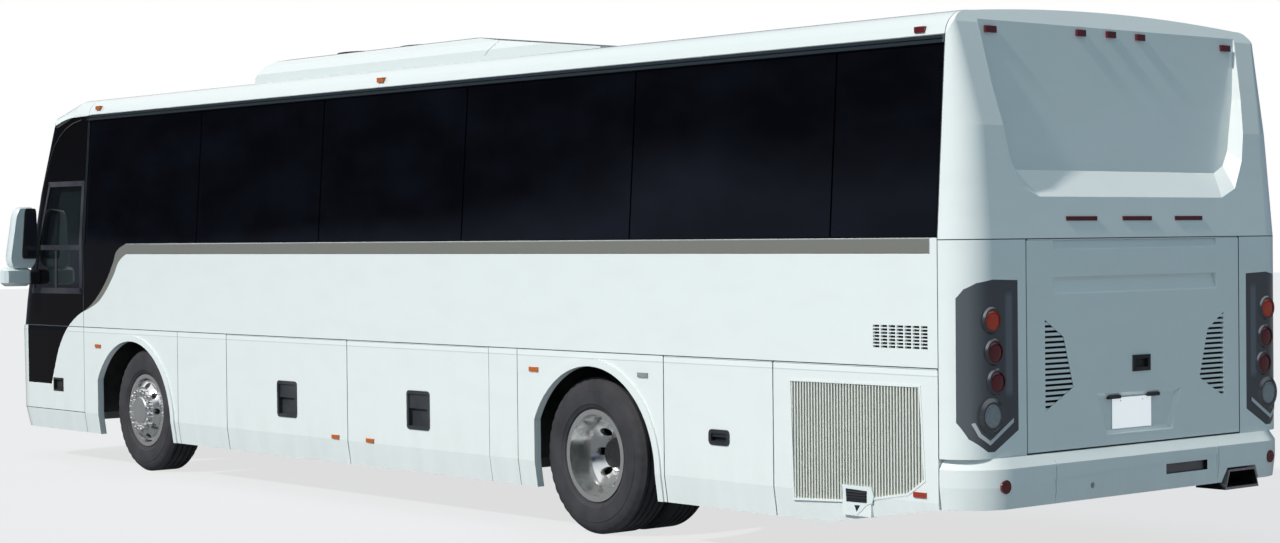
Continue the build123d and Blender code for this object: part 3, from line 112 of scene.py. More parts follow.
# A soft sun; its height and heading are in degrees.
SUN_STRENGTH = 3.4
SUN_COLOR = (1.0, 0.94, 0.885)
SUN_ANGLE = 2.5
SUN_HEIGHT = 40.0
SUN_HEADING = 90.0


def make_sun():
    data = bpy.data.lights.new("key", "SUN")
    data.energy = SUN_STRENGTH
    data.color = SUN_COLOR
    data.angle = math.radians(SUN_ANGLE)
    turn = (math.radians(90 - SUN_HEIGHT), 0, math.radians(SUN_HEADING + 90))
    new_object("key", data).rotation_euler = turn


def feed(tree, value, socket):
    """Sets a socket to a number, a colour or a size, or links an output or a node to it."""
    if isinstance(value, (int, float)):
        socket.default_value = value
    elif isinstance(value, tuple):
        socket.default_value = (*value, 1) if len(socket.default_value) == 4 else value
    else:
        tree.links.new(value.outputs[0] if hasattr(value, "outputs") else value, socket)


def make_node(tree, kind, *feeds, **settings):
    """A new node. The feeds go to its first sockets, and a setting with a capital names a socket."""
    node = tree.nodes.new("ShaderNode" + kind)
    for key, value in settings.items():
        if key[0].isupper():
            feed(tree, value, node.inputs[key])
        else:
            setattr(node, key, value)
    for socket, value in zip(node.inputs, feeds):
        feed(tree, value, socket)
    return node


SKY = (0.57, 0.86, 1.0)
SKY_STRENGTH = 0.405
# What polished surfaces mirror: (height of the direction, colour), from the pale gap under a line
# of trees through the dark trees to the bright sky.
MIRRORED = (
    (0.00, (0.13, 0.14, 0.20)),
    (0.105, (0.20, 0.23, 0.34)),
    (0.14, (0.012, 0.014, 0.024)),
    (0.30, (0.008, 0.010, 0.018)),
    (0.42, (0.55, 0.62, 0.68)),
    (0.75, (1.0, 1.0, 1.0)),
)
TREE_CELLS = 7.0
TREES_UNEVEN = 0.045  # how far the line of trees wanders up and down
FRONT_VIEW = (0.76, 0.88)  # over these directions towards the front the gap narrows
FRONT_GAP = 2.0  # by this much


def make_world():
    """Soft light for the object, white to the camera, and dark trees in mirror surfaces."""
    world = bpy.data.worlds.new("studio")
    bpy.context.scene.world = world
    world.use_nodes = True
    tree = world.node_tree
    node = partial(make_node, tree)
    place = node("TexCoord").outputs["Generated"]
    along, _, rise = node("SeparateXYZ", place).outputs
    noise = node("TexNoise", place, Scale=TREE_CELLS, Detail=5.0)
    wander = node("MapRange", noise, 0.0, 1.0, -TREES_UNEVEN, TREES_UNEVEN)
    gap = node("MapRange", along, *FRONT_VIEW, 1.0, FRONT_GAP)
    scaled = node("Math", rise, gap, operation="MULTIPLY")
    ramp = node("ValToRGB", node("Math", scaled, wander, operation="ADD"))
    stops = ramp.color_ramp.elements
    for index, (position, color) in enumerate(MIRRORED):
        stop = stops[index] if index < 2 else stops.new(position)
        stop.position, stop.color = position, (*color, 1)
    light = tree.nodes["Background"]
    feed(tree, SKY, light.inputs["Color"])
    feed(tree, SKY_STRENGTH, light.inputs["Strength"])
    ray = node("LightPath").outputs
    lit = node("MixShader", ray["Is Glossy Ray"], light, node("Background", ramp))
    seen = node("Math", ray["Is Camera Ray"], ray["Is Transmission Ray"], operation="MAXIMUM")
    final = node("MixShader", seen, lit, node("Background", (1.0, 1.0, 1.0)))
    feed(tree, final, tree.nodes["World Output"].inputs["Surface"])


FLOOR_HALF = 70.0
FLOOR_COLOR = (0.36, 0.39, 0.42)
FLOOR_GLOW = 0.72  # how much of the floor that the camera sees is plain white
FLOOR_MIRRORED = (0.17, 0.172, 0.18)  # the dark ground that polished surfaces mirror


def make_floor():
    mesh = bpy.data.meshes.new("floor")
    half = FLOOR_HALF
    corners = [(-half, -half, 0), (half, -half, 0), (half, half, 0), (-half, half, 0)]
    mesh.from_pydata(corners, [], [(0, 1, 2, 3)])
    material = bpy.data.materials.new("pale_floor")
    material.use_nodes = True
    tree = material.node_tree
    shader = tree.nodes["Principled BSDF"]
    feed(tree, FLOOR_COLOR, shader.inputs["Base Color"])
    feed(tree, 0.9, shader.inputs["Roughness"])
    node = partial(make_node, tree)
    ray = node("LightPath").outputs
    share = node("Math", ray["Is Camera Ray"], FLOOR_GLOW, operation="MULTIPLY")
    seen = node("MixShader", share, shader, node("Emission", (1.0, 1.0, 1.0)))
    final = node("MixShader", ray["Is Glossy Ray"], seen, node("Emission", FLOOR_MIRRORED))
    feed(tree, final, tree.nodes["Material Output"].inputs["Surface"])
    mesh.materials.append(material)
    new_object("floor", mesh)


# ---- Materials ----
def tone(red, green, blue):
    """A colour as a screen shows it, from 0 to 255, as scene-linear values."""
    parts = [value / 255 for value in (red, green, blue)]
    return tuple(v / 12.92 if v <= 0.04045 else ((v + 0.055) / 1.055) ** 2.4 for v in parts)


class Finish:
    """A Principled material and the nodes that feed it, placed by object coordinates."""

    def __init__(self, name, roughness, **sockets):
        self.material = bpy.data.materials.new(name)
        self.material.use_nodes = True
        self.tree = self.material.node_tree
        self.shader = self.tree.nodes["Principled BSDF"]
        self.drive("Roughness", roughness)
        for socket, value in sockets.items():
            self.drive(socket.replace("_", " "), value)
        self.place = self.node("TexCoord").outputs["Object"]
        self.x, self.y, self.z = self.node("SeparateXYZ", self.place).outputs
        self.off_middle = self.calc("ABSOLUTE", self.y)

    def node(self, kind, *feeds, **settings):
        return make_node(self.tree, kind, *feeds, **settings)

    def drive(self, socket, value):
        """Sets or links one of the shader's own sockets."""
        feed(self.tree, value, self.shader.inputs[socket])

    paint = partialmethod(drive, "Base Color")

    def calc(self, operation, first, second=0.0):
        return self.node("Math", first, second, operation=operation)

    over = partialmethod(calc, "GREATER_THAN")
    under = partialmethod(calc, "LESS_THAN")
    both = partialmethod(calc, "MULTIPLY")
    either = partialmethod(calc, "MAXIMUM")
    outside = partialmethod(calc, "SUBTRACT", 1.0)

    def between(self, value, low, high):
        return self.both(self.over(value, low), self.under(value, high))

    def any_of(self, *values):
        return reduce(self.either, values)

    def curve(self, value, table, reach):
        """A smooth curve through (value, result) rows, for results up to reach."""
        low, high = table[0][0], table[-1][0]
        scaled = self.node("MapRange", value, low, high)
        curve = self.node("FloatCurve", Value=scaled)
        line = curve.mapping.curves[0]
        rows = [((v - low) / (high - low), result / reach) for v, result in table]
        line.points[0].location = rows[0]
        line.points[1].location = rows[-1]
        for row in rows[1:-1]:
            line.points.new(*row)
        curve.mapping.update()
        return self.both(curve, reach)

    def noise(self, scale, detail=3.0, stretch=(1, 1, 1)):
        """Noise with a number of cells to the metre, squeezed along some axes."""
        place = self.node("Mapping", self.place, Scale=stretch)
        return self.node("TexNoise", place, Scale=scale, Detail=detail)

    def waves(self, scale, direction):
        bands = self.node("TexWave", self.place, Scale=scale, bands_direction=direction)
        return bands.outputs["Fac"]

    def fade(self, value, low, high, start=0.0, end=1.0):
        return self.node("MapRange", value, low, high, start, end)

    def mix(self, share, first, second):
        node = self.node("Mix", share, data_type="RGBA")
        feed(self.tree, first, node.inputs[6])  # the first of the two colour sockets
        feed(self.tree, second, node.inputs[7])
        return node.outputs[2]

    def patches(self, color, other, noise, low, high, share=1.0):
        """A colour with patches of another where the noise is over a range."""
        return self.mix(self.fade(self.noise(*noise), low, high, 0.0, share), color, other)

    def vary_roughness(self, value, low, high):
        self.drive("Roughness", self.fade(value, 0.3, 0.7, low, high))

    def bump(self, height, distance, strength):
        """Adds a relief to those before it."""
        node = self.node("Bump", Distance=distance, Strength=strength, Height=height)
        before = self.shader.inputs["Normal"].links
        if before:
            feed(self.tree, before[0].from_socket, node.inputs["Normal"])
        self.drive("Normal", node)


WHITE = tone(224, 231, 231)
BLACK = tone(6, 5, 5)
STRIPE = tone(118, 118, 112)
DRIP_GREY = tone(40, 48, 54)
DUST = tone(150, 148, 140)

# Side view of the black sweep on the front corners: (height, place along) of its rear edge, and
# of the grey stripe's rear edge, which runs on from the moulding under the windows.
SWEEP_EDGE = (
    (0.600, 4.582), (0.736, 4.522), (0.909, 4.428), (1.057, 4.279),
    (1.151, 4.104), (1.219, 3.917), (1.311, 3.762), (1.445, 3.606),
    (1.566, 3.508), (1.654, 3.437), (1.700, 3.300),
)
STRIPE_EDGE = SWEEP_EDGE[:5] + (
    (1.213, 3.891), (1.253, 3.777), (1.312, 3.679), (1.459, 3.511),
    (1.579, 3.399), (1.622, 3.300),
)
SIDE_REACH = 5.0
SWEEP_FOOT_Z = 0.600
SWEEP_FRONT_X = 4.995  # the front face is white below the windscreen
CAP_X = 3.99  # where the front cap's own pattern starts
# Lower edge of the white roof along the front cap: (place along, height).
BROW_EDGE = ((3.9, 2.690), (4.20, 2.690), (4.376, 2.682), (4.482, 2.667), (4.70, 2.61), (5.0, 2.50))
BROW_REACH = 3.0

# Joints between the fixed panels, drawn as fine dark lines.
JOINT = tone(70, 78, 84)
JOINT_HALF = 0.0028
FRONT_SEAM_X = behind(1.36)
PANEL_JOINTS_X = (ahead(2.30), ahead(3.67), behind(3.56), behind(2.85))
KNEE_Z = 0.400
REAR_JOINT_Z = 1.690
SHOULDER_Z = (1.022, 1.052)  # the rounded step at the top of the lower panels
SHOULDER_OUT = 0.005
# A faint line of painted shade along the lower edge of the rounded step: its half-width and its tone.
STEP_HALF = 0.003
STEP_SHADE = tone(196, 204, 206)
CORNER_DEPTH = 0.13  # the joints between the lower panels run round the side's lower corner
CAP_FOOT_Z = 0.62
# Painted shade: from these heights up, the roof's white is dimmed towards this grey to hold down its
# sunlit top.
ROOF_FROM_Z = (2.69, 2.74)
ROOF_PAINTED_SHADE = tone(204, 212, 213)


def joint_lines(f):
    """A mask of the joints between the fixed panels."""

    def line(value, place):
        return f.between(value, place - JOINT_HALF, place + JOINT_HALF)

    side = f.over(f.off_middle, HALF - CORNER_DEPTH)
    low = f.both(side, f.under(f.z, PANEL_TOP_Z))
    return f.any_of(
        *(f.both(low, line(f.x, x)) for x in PANEL_JOINTS_X),
        f.both(line(f.z, PANEL_TOP_Z), f.over(f.x, REAR_SEAM_X)),
        f.both(line(f.x, REAR_SEAM_X), f.over(f.z, CAP_FOOT_Z)),
        line(f.x, FRONT_SEAM_X),
        f.both(line(f.z, REAR_JOINT_Z), f.under(f.x, REAR_SEAM_X)),
        f.both(line(f.z, KNEE_Z), f.over(f.x, FRONT_SEAM_X)),
    )


def body_paint():
    """Gloss white with the black sweep, the grey stripe and the dark rail over the windows."""
    f = Finish("body_paint", 0.22, Coat_Weight=0.6, Coat_Roughness=0.04)
    before_rear = f.over(f.x, REAR_SEAM_X)
    on_cap = f.over(f.x, CAP_X)
    behind_cap = f.outside(on_cap)
    sweep = f.over(f.x, f.curve(f.z, SWEEP_EDGE, SIDE_REACH))
    stripe = f.over(f.x, f.curve(f.z, STRIPE_EDGE, SIDE_REACH))
    on_side = f.either(f.under(f.x, SWEEP_FRONT_X), f.over(f.z, PANEL_TOP_Z))
    sides = f.both(f.both(sweep, on_side), f.between(f.z, SWEEP_FOOT_Z, BELT_Z))
    low = f.both(f.both(stripe, on_side), f.between(f.z, SWEEP_FOOT_Z, MOULDING_Z[0]))
    moulding = f.both(f.between(f.z, *MOULDING_Z), f.over(f.x, ahead(0.24)))
    grey = f.both(f.either(low, moulding), f.outside(sides))
    band = f.both(before_rear, f.between(f.z, BELT_Z, RAIL_Z[0]))
    under_roof = f.both(f.under(f.z, f.curve(f.x, BROW_EDGE, BROW_REACH)), f.over(f.z, BELT_Z))
    black = f.any_of(sides, f.both(band, behind_cap), f.both(under_roof, on_cap))
    rail = f.both(f.between(f.z, *RAIL_Z), f.both(behind_cap, before_rear))
    grime = f.fade(f.noise(3.0, 5, (1, 1, 2.5)), 0.45, 0.8, 0.0, 0.05)
    splash = f.fade(f.noise(9.0, 6, (1, 1, 0.3)), 0.3, 0.8)
    low_grime = f.both(f.fade(f.z, 0.75, 0.25, 0.0, 0.14), splash)
    color = f.mix(f.either(grime, low_grime), WHITE, DUST)
    # Painted shade: the sunlit roof top is dimmed towards a grey.
    roof = f.both(f.fade(f.z, *ROOF_FROM_Z, 0.0, 0.8), before_rear)
    color = f.mix(roof, color, ROOF_PAINTED_SHADE)
    color = f.mix(grey, color, STRIPE)
    color = f.mix(rail, color, DRIP_GREY)
    # Painted shade: a faint darker line at the lower edge of the rounded shoulder.
    step = f.between(f.z, SHOULDER_Z[0] - STEP_HALF, SHOULDER_Z[0] + STEP_HALF)
    color = f.mix(f.both(step, before_rear), color, STEP_SHADE)
    joints = joint_lines(f)
    color = f.mix(joints, color, JOINT)
    f.paint(f.mix(f.both(black, f.outside(joints)), color, BLACK))
    f.drive("Coat Weight", f.fade(black, 0, 1, 0.6, 0.0))
    f.drive("Specular IOR Level", f.fade(black, 0, 1, 0.5, 0.13))
    shoulder = f.both(f.fade(f.z, *SHOULDER_Z, 1.0, 0.0), before_rear)
    f.bump(f.noise(1.1, 1), 0.006, 0.35)
    f.bump(f.noise(420.0, 2), 0.0002, 0.12)
    f.bump(shoulder, SHOULDER_OUT, 0.6)
    return f.material


def plain(name, color, roughness, grain=180.0, depth=0.0004, dust=0.12, **sockets):
    """A single-coloured surface with its own grain, uneven gloss and faint dust."""
    f = Finish(name, roughness, **sockets)
    f.paint(f.patches(tone(*color), DUST, (4.0, 5), 0.35, 0.75, dust))
    f.vary_roughness(f.noise(14.0, 5), max(roughness - 0.06, 0.02), min(roughness + 0.1, 1.0))
    f.bump(f.noise(grain, 3), depth, 0.4)
    return f.material


def metal(name, color, roughness, grain=60.0, dirt=0.2, mirror=1.0):
    """Bare metal with a fine grain and patchy stains."""
    f = Finish(name, roughness, Metallic=mirror)
    f.paint(f.patches(tone(*color), tone(92, 88, 82), (9.0, 6), 0.5, 0.85, dirt))
    f.vary_roughness(f.noise(22.0, 5), max(roughness - 0.05, 0.02), roughness + 0.1)
    f.bump(f.noise(grain, 3), 0.0004, 0.35)
    return f.material


def tinted_glass():
    """Near-black privacy glass, with slow waves in its mirror image and slow pale patches of painted
    reflection in its colour.
    """
    f = Finish("tinted_glass", 0.03, Specular_IOR_Level=0.30)
    # Painted reflection: slow bluish patches in the near-black colour.
    f.paint(f.patches(tone(5, 6, 9), tone(12, 14, 21), (1.6, 4, (1, 1, 2)), 0.4, 0.75))
    f.bump(f.noise(0.9, 1, (1, 1, 0.6)), 0.010, 0.2)
    return f.material


def clear_glass(name, color, border=None):
    """Glass that can be seen through; border is a test for its black printed edge."""
    f = Finish(name, 0.02, Transmission_Weight=0.92, IOR=1.45, Specular_IOR_Level=0.4)
    tint = f.patches(tone(*color), tone(120, 132, 128), (2.0, 3), 0.3, 0.8, 0.10)
    f.bump(f.noise(1.2, 1), 0.004, 0.15)
    if border:
        edge = border(f)
        tint = f.mix(edge, tint, BLACK)
        f.drive("Transmission Weight", f.fade(edge, 0, 1, 0.92, 0.0))
    f.paint(tint)
    return f.material


SCREEN_CLEAR_HALF = HALF - 0.175
SCREEN_CLEAR_Z = (1.305, 2.405)


def screen_border(f):
    """The printed edge of the windscreen."""
    foot, top = SCREEN_CLEAR_Z
    return f.any_of(f.over(f.off_middle, SCREEN_CLEAR_HALF), f.under(f.z, foot), f.over(f.z, top))


def lens_plastic(name, color):
    """Moulded lens with fine ribs under a smooth face."""
    f = Finish(name, 0.12, Coat_Weight=0.8, Coat_Roughness=0.03)
    cells = f.node("TexVoronoi", f.place, Scale=220.0)
    bright = tone(*color)
    dark = tuple(part * 0.45 for part in bright)
    f.paint(f.mix(f.fade(cells, 0.0, 0.7), bright, dark))
    f.bump(cells, 0.0015, 0.5)
    return f.material


LAMP_REFLECTION_Y = (HALF - 0.150, HALF - 0.060)  # painted reflection: the cluster grows paler round the corner post
# The soft edges of the pale upright band on its inner side, a painted highlight of the cover's raised
# inner contour.
LAMP_HIGHLIGHT_OUTER = (HALF - 0.272, HALF - 0.290)
LAMP_HIGHLIGHT_INNER = (HALF - 0.335, HALF - 0.320)
LAMP_HIGHLIGHT_FOOT = (0.91, 0.95)
LAMP_HIGHLIGHT_TOP = (1.44, 1.40)


def smoked_lens():
    """Smoked cover of the tail lamps: dark behind the lamps, with a painted reflection that pales it
    round the corner post and a painted highlight in a pale upright band.
    """
    f = Finish("smoked_lens", 0.10, Coat_Weight=1.0, Coat_Roughness=0.02)
    # Painted reflection: the cover grows paler towards the corner post.
    corner = f.fade(f.off_middle, *LAMP_REFLECTION_Y)
    # Painted highlight: a pale upright band on the inner side.
    across = f.both(f.fade(f.off_middle, *LAMP_HIGHLIGHT_INNER), f.fade(f.off_middle, *LAMP_HIGHLIGHT_OUTER))
    band = f.both(across, f.both(f.fade(f.z, *LAMP_HIGHLIGHT_FOOT), f.fade(f.z, *LAMP_HIGHLIGHT_TOP)))
    color = f.patches(tone(60, 65, 72), tone(76, 82, 90), (6.0, 3), 0.3, 0.8, 0.25)
    color = f.mix(corner, color, tone(86, 92, 98))
    f.paint(f.mix(f.both(band, 0.8), color, tone(98, 104, 116)))
    f.bump(f.noise(160.0, 2), 0.0002, 0.2)
    return f.material


def tyre_rubber():
    f = Finish("tyre_rubber", 0.78, Specular_IOR_Level=0.35)
    f.paint(f.patches(tone(48, 48, 52), tone(88, 88, 94), (7.0, 6), 0.35, 0.8, 0.35))
    f.bump(f.noise(240.0, 4), 0.0008, 0.5)
    return f.material


def seat_cloth():
    f = Finish("seat_cloth", 0.9, Sheen_Weight=0.35)
    weave = f.both(f.waves(260.0, "Y"), f.waves(260.0, "Z"))
    fleck = f.fade(f.noise(38.0, 4), 0.56, 0.62)
    base = f.mix(f.fade(weave, 0, 1, 0, 0.5), tone(40, 46, 68), tone(66, 72, 96))
    f.paint(f.mix(f.both(fleck, 0.6), base, tone(120, 74, 62)))
    f.bump(weave, 0.0008, 0.6)
    return f.material


def floor_vinyl():
    f = Finish("floor_vinyl", 0.6)
    f.paint(f.patches(tone(66, 67, 70), tone(130, 130, 132), (260.0, 2), 0.62, 0.66))
    f.bump(f.waves(24.0, "X"), 0.002, 0.4)
    return f.material


EXHAUST_HEAT_X = (REAR_X + 0.06, REAR_X + 0.45)


def exhaust_steel():
    """Bright steel, browned by heat towards the front and sooty inside."""
    f = Finish("exhaust_steel", 0.24, Metallic=1.0)
    color = f.mix(f.fade(f.x, *EXHAUST_HEAT_X), tone(196, 197, 200), tone(96, 78, 62))
    f.paint(f.patches(color, tone(84, 76, 70), (16.0, 6), 0.45, 0.8, 0.5))
    f.bump(f.noise(90.0, 4), 0.0006, 0.4)
    return f.material


M = {
    "paint": body_paint(),
    "shell": plain("white_moulding", (216, 226, 228), 0.3, dust=0.08, Coat_Weight=0.4),
    "lining": plain("inner_lining", (112, 114, 116), 0.75, grain=320.0, depth=0.001),
    "primer": plain("dark_primer", (44, 46, 48), 0.6),
    "seal": plain("rubber_seal", (20, 20, 21), 0.7, grain=300.0),
    "glass": tinted_glass(),
    "screen": clear_glass("screen_glass", (150, 166, 162), screen_border),
    "cab_glass": clear_glass("cab_glass", (44, 50, 56)),
    "black_plastic": plain("black_plastic", (24, 26, 30), 0.42, grain=500.0, depth=0.0006),
    "frame_grey": plain("window_frame", (36, 41, 49), 0.45, grain=400.0),
    "pull": plain("pull_plastic", (40, 44, 50), 0.38, grain=420.0, depth=0.0006),
    "dark": plain("deep_black", (10, 10, 11), 0.8, dust=0.05),
    "slat": plain("grille_slats", (208, 211, 203), 0.5, grain=120.0, dust=0.06),
    "slat_back": plain("grille_back", (140, 142, 138), 0.8),
    "alloy": metal("polished_alloy", (228, 230, 230), 0.14, 30.0, dirt=0.12, mirror=0.86),
    "chrome": metal("bright_chrome", (232, 234, 236), 0.10, 20.0, dirt=0.08, mirror=0.93),
    "bright_strip": plain("bright_strip", (206, 212, 216), 0.15, Metallic=0.3),
    "hub": plain("axle_hub", (52, 54, 56), 0.3, Metallic=0.5),
    "steel": metal("plain_steel", (150, 151, 152), 0.38, 80.0),
    "iron": plain("cast_iron", (72, 68, 64), 0.7, grain=70.0, depth=0.002, Metallic=0.6),
    "chassis": plain("chassis_paint", (26, 27, 29), 0.55, grain=90.0, depth=0.001, dust=0.3),
    "bay": plain("bay_lining", (104, 106, 108), 0.7, grain=260.0),
    "rubber": tyre_rubber(),
    "smoke": smoked_lens(),
    "ring": metal("lamp_rings", (118, 122, 128), 0.28, dirt=0.1),
    "orange_red": lens_plastic("stop_lens", (236, 72, 30)),
    "red": lens_plastic("tail_lens", (120, 14, 18)),
    "dark_red": lens_plastic("marker_red", (120, 20, 24)),
    "marker_red": lens_plastic("reflector_red", (196, 66, 44)),
    "amber": lens_plastic("marker_amber", (232, 120, 40)),
    "clear": lens_plastic("clear_lens", (172, 178, 182)),
    # The blank plate glows a little: painted light that keeps it white in the rear's shade.
    "plate": plain("glowing_blank_plate", (246, 247, 247), 0.35, dust=0.02, Emission_Strength=0.45),
    "cloth": seat_cloth(),
    "shell_grey": plain("lamp_bowl", (104, 106, 110), 0.25, Metallic=0.7),
    "piping": plain("seat_trim", (26, 27, 30), 0.6, grain=300.0),
    "dash": plain("dash_plastic", (46, 48, 52), 0.6, grain=700.0, depth=0.001),
    "vinyl": floor_vinyl(),
    "exhaust": exhaust_steel(),
    "mirror": metal("mirror_glass", (120, 126, 132), 0.03, 5.0, dirt=0.0),
}


# ---- Painting the CAD nodes face by face ----
FIT = 0.0012  # how far a corner may lie outside a rule's box


def within(x=(-9, 9), y=(0, 9), z=(-9, 9), facing=None):
    """A test for faces whose corners all lie in a box. y counts from the middle on both sides."""

    def test(corners, normal):
        for c in corners:
            for value, (low, high) in zip((c.x, abs(c.y), c.z), (x, y, z)):
                if not low - FIT <= value <= high + FIT:
                    return False
        return facing is None or normal.dot(Vector(facing)) > 0.7

    return test


def facing_in(corners, normal, least=0.3):
    """A test for faces that look towards the middle of the vehicle from a distance off it."""
    y = sum(c.y for c in corners) / len(corners)
    return normal.y * math.copysign(1, y) < -0.5 and abs(y) > least


def facing_down(corners, normal):
    """A test for the underside of the roof."""
    return normal.z < -0.5 and corners[0].z > 2.6


def paint_node(name, default, *rules):
    """Gives each face of a CAD node the material of the first rule that holds it."""
    mesh = nodes[name].data
    mesh.materials.clear()
    keys = list(dict.fromkeys((default, *(key for key, _ in rules))))
    for key in keys:
        mesh.materials.append(M[key])
    for polygon in mesh.polygons:
        corners = [mesh.vertices[i].co for i in polygon.vertices]
        held = (key for key, test in rules if test(corners, polygon.normal))
        polygon.material_index = keys.index(next(held, default))


LOCKER_PULL = (0.127, 0.516, 0.762)  # half-length, foot and top
SERVICE_PULL = (0.085, 0.590, 0.675)
PULL_SHARE = 0.48
LENS_HALF = (0.044, 0.013)
DOOR_FACE_Y = (HALF - 0.026, HALF + 0.01)
FRONT_LOCKER_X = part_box("left_front_locker_door")[0].x - 0.004
LOCKER_LENSES = {"rear": (FRONT_LOCKER_X - 0.273, 0.416), "front": (FRONT_LOCKER_X + 0.145, 0.417)}
GRILLE_X = (ahead(0.292), ahead(1.257))
GRILLE_Z = (0.35, 0.97)


def lens_rule(key, x, z):
    dx, dz = LENS_HALF
    return (key, within((x - dx, x + dx), (HALF - 0.0005, HALF + 0.02), (z - dz, z + dz)))


def paint_pull_door(name, pull, *rules):
    low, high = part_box(name)
    x = part_way(low.x, high.x, PULL_SHARE)
    half, foot, top = pull
    on_pull = within((x - half - 0.002, x + half + 0.002), DOOR_FACE_Y, (foot, top))
    paint_node(name, "paint", ("pull", on_pull), *rules, ("primer", facing_in))


def paint_doors():
    for side in ("left", "right"):
        for half, lens in LOCKER_LENSES.items():
            name = f"{side}_{half}_locker_door"
            paint_pull_door(name, LOCKER_PULL, lens_rule("amber", *lens))
    paint_pull_door("left_service_door", SERVICE_PULL)
    paint_node(
        "radiator_door",
        "paint",
        ("slat_back", within(GRILLE_X, (HALF - 0.0205, HALF - 0.0195), GRILLE_Z, (0, 1, 0))),
        ("slat", within(GRILLE_X, (HALF - 0.021, HALF - 0.0015), GRILLE_Z)),
        lens_rule("marker_red", ahead(0.317), 0.435),
        ("primer", facing_in),
    )


# Sunk places of the body: the wall's air slots, the side socket and the air slots of the front
# panel, and the slot in the right half of the rear bumper.
# The inner faces of the air slots and the walls of the bumper slot are painted deep black, as painted
# shade for their depth.
WALL_SLOTS = within((ahead(0.255), ahead(0.647)), (HALF - 0.016, HALF - 0.0025), (1.15, 1.27))
FRONT_SOCKET = within((behind(1.002), behind(0.828)), (HALF - 0.05, HALF + 0.01), (0.546, 0.654))
FRONT_SLOTS = within((NOSE_X - 0.5, NOSE_X), (0, 0.561), (0.904, 1.036))
BUMPER_SLOT = within((REAR_X - 0.06, REAR_X + 0.01), (0.172, 0.519), (0.451, 0.504))


def in_bumper_slot(corners, normal, depth):
    return BUMPER_SLOT(corners, normal) and corners[0].y < 0 and corners[0].x > REAR_X - depth


def paint_body():
    inside = ("lining", facing_in)
    for name in ("left_wall", "right_wall"):
        # Painted shade: the insides of the wall's air slots in deep black.
        paint_node(name, "paint", ("dark", WALL_SLOTS), inside)
    for name in ("roof", "front_cap"):
        paint_node(name, "paint", ("lining", facing_down), inside)
    inner_wall = partial(facing_in, least=HALF - 0.12)
    paint_node("rear_cap", "paint", ("lining", facing_down), ("lining", inner_wall))
    # Painted shade: the upper and lower sides of the front panel's air slots in deep black.
    slots = ("dark", lambda c, n: FRONT_SLOTS(c, n) and abs(n.z) > 0.7)
    paint_node("front_panel", "paint", slots, ("black_plastic", FRONT_SOCKET), inside)
    for name in ("skirt_panels", "rear_corners", "front_bumper"):
        paint_node(name, "paint", inside)
    paint_node("roof_unit", "paint")
    paint_node(
        "rear_bumper",
        "paint",
        ("steel", lambda c, n: in_bumper_slot(c, n, 0.04) and n.x < -0.7),
        # Painted shade: the walls of the bumper slot in deep black.
        ("dark", lambda c, n: in_bumper_slot(c, n, 0.05) and abs(n.x) < 0.3),
    )


# Parts of the engine door, as (across, up, half-width, half-height).
HANDLE_BOX = (-0.024, 1.040, 0.070, 0.042)
PLATE = (0.030, 0.786, 0.158, 0.080)
PLATE_LAMPS = ((0.181, 0.871, 0.046, 0.009), (-0.135, 0.871, 0.046, 0.009))
VENTS = within((REAR_X + 0.001, REAR_X + VENT_FLOOR + 0.002), (0.5, 0.73), (0.82, 1.29))


def on_rear(place, depth=9.0, least=-2.0):
    """A test for faces in a rectangle of the rear, up to a depth, that look to the rear at least
    as much as given."""
    y, z, dy, dz = place

    def test(corners, normal):
        if not all(abs(c.y - y) <= dy + FIT and abs(c.z - z) <= dz + FIT for c in corners):
            return False
        return -normal.x > least and all(c.x < REAR_X + depth for c in corners)

    return test


def in_vents(corners, normal):
    """A test for the floors and the upper and lower sides of the vents, which are given painted shade.
    """
    deep = corners[0].x > REAR_X + VENT_FLOOR - 0.002
    return VENTS(corners, normal) and (abs(normal.z) > 0.2 or deep)


def paint_engine_door():
    paint_node(
        "engine_door",
        "paint",
        # Painted shade: the vents' floors and the slats' upper and lower sides in deep black.
        ("dark", in_vents),
        ("black_plastic", on_rear(HANDLE_BOX, 0.0125)),
        *(("pull", on_rear(place)) for place in PLATE_LAMPS),
        ("plate", on_rear(PLATE, 0.020, 0.7)),
        ("primer", lambda c, n: n.x > 0.7 and c[0].x > REAR_X + 0.05),
    )


TAIL_LAMPS = (
    (HALF - 0.182, 1.294, 0.050, "orange_red"),
    (HALF - 0.198, 1.139, 0.050, "red"),
    (HALF - 0.213, 0.993, 0.050, "red"),
    (HALF - 0.178, 0.828, 0.060, "clear"),
)
TAIL_RIM = 0.010
REAR_MARKERS_X = (-9, REAR_X + 0.30)
LAST_ROOF_MARKER_X = ahead(0.361)
CLEAR_MARKER_X = ahead(2.478)


def around(x):
    return (x - 0.05, x + 0.05)


def on_round(y, z, radius):
    """A test for faces in a circle on each side of the rear."""

    def test(corners, normal):
        flat = all(math.hypot(abs(c.y) - y, c.z - z) <= radius + FIT for c in corners)
        return flat and all(c.x < REAR_X + 0.0005 for c in corners)

    return test


def paint_lamps():
    rules = []
    for y, z, radius, key in TAIL_LAMPS:
        rules.append((key, on_round(y, z, radius)))
        rules.append(("ring", on_round(y, z, radius + TAIL_RIM)))
    paint_node("tail_lamps", "smoke", *rules, ("bright_strip", on_strip))
    paint_node("headlamps", "clear")
    paint_node(
        "marker_lamps",
        "amber",
        ("dark_red", within(REAR_MARKERS_X)),
        ("dark_red", within(around(LAST_ROOF_MARKER_X), z=(2.6, 2.9))),
        ("clear", within(around(CLEAR_MARKER_X), z=(0.9, 1.0))),
    )


STRIP_TOP_Z = 0.815
STRIP_OUT = 0.003
REAR_CORNER_R = 0.18


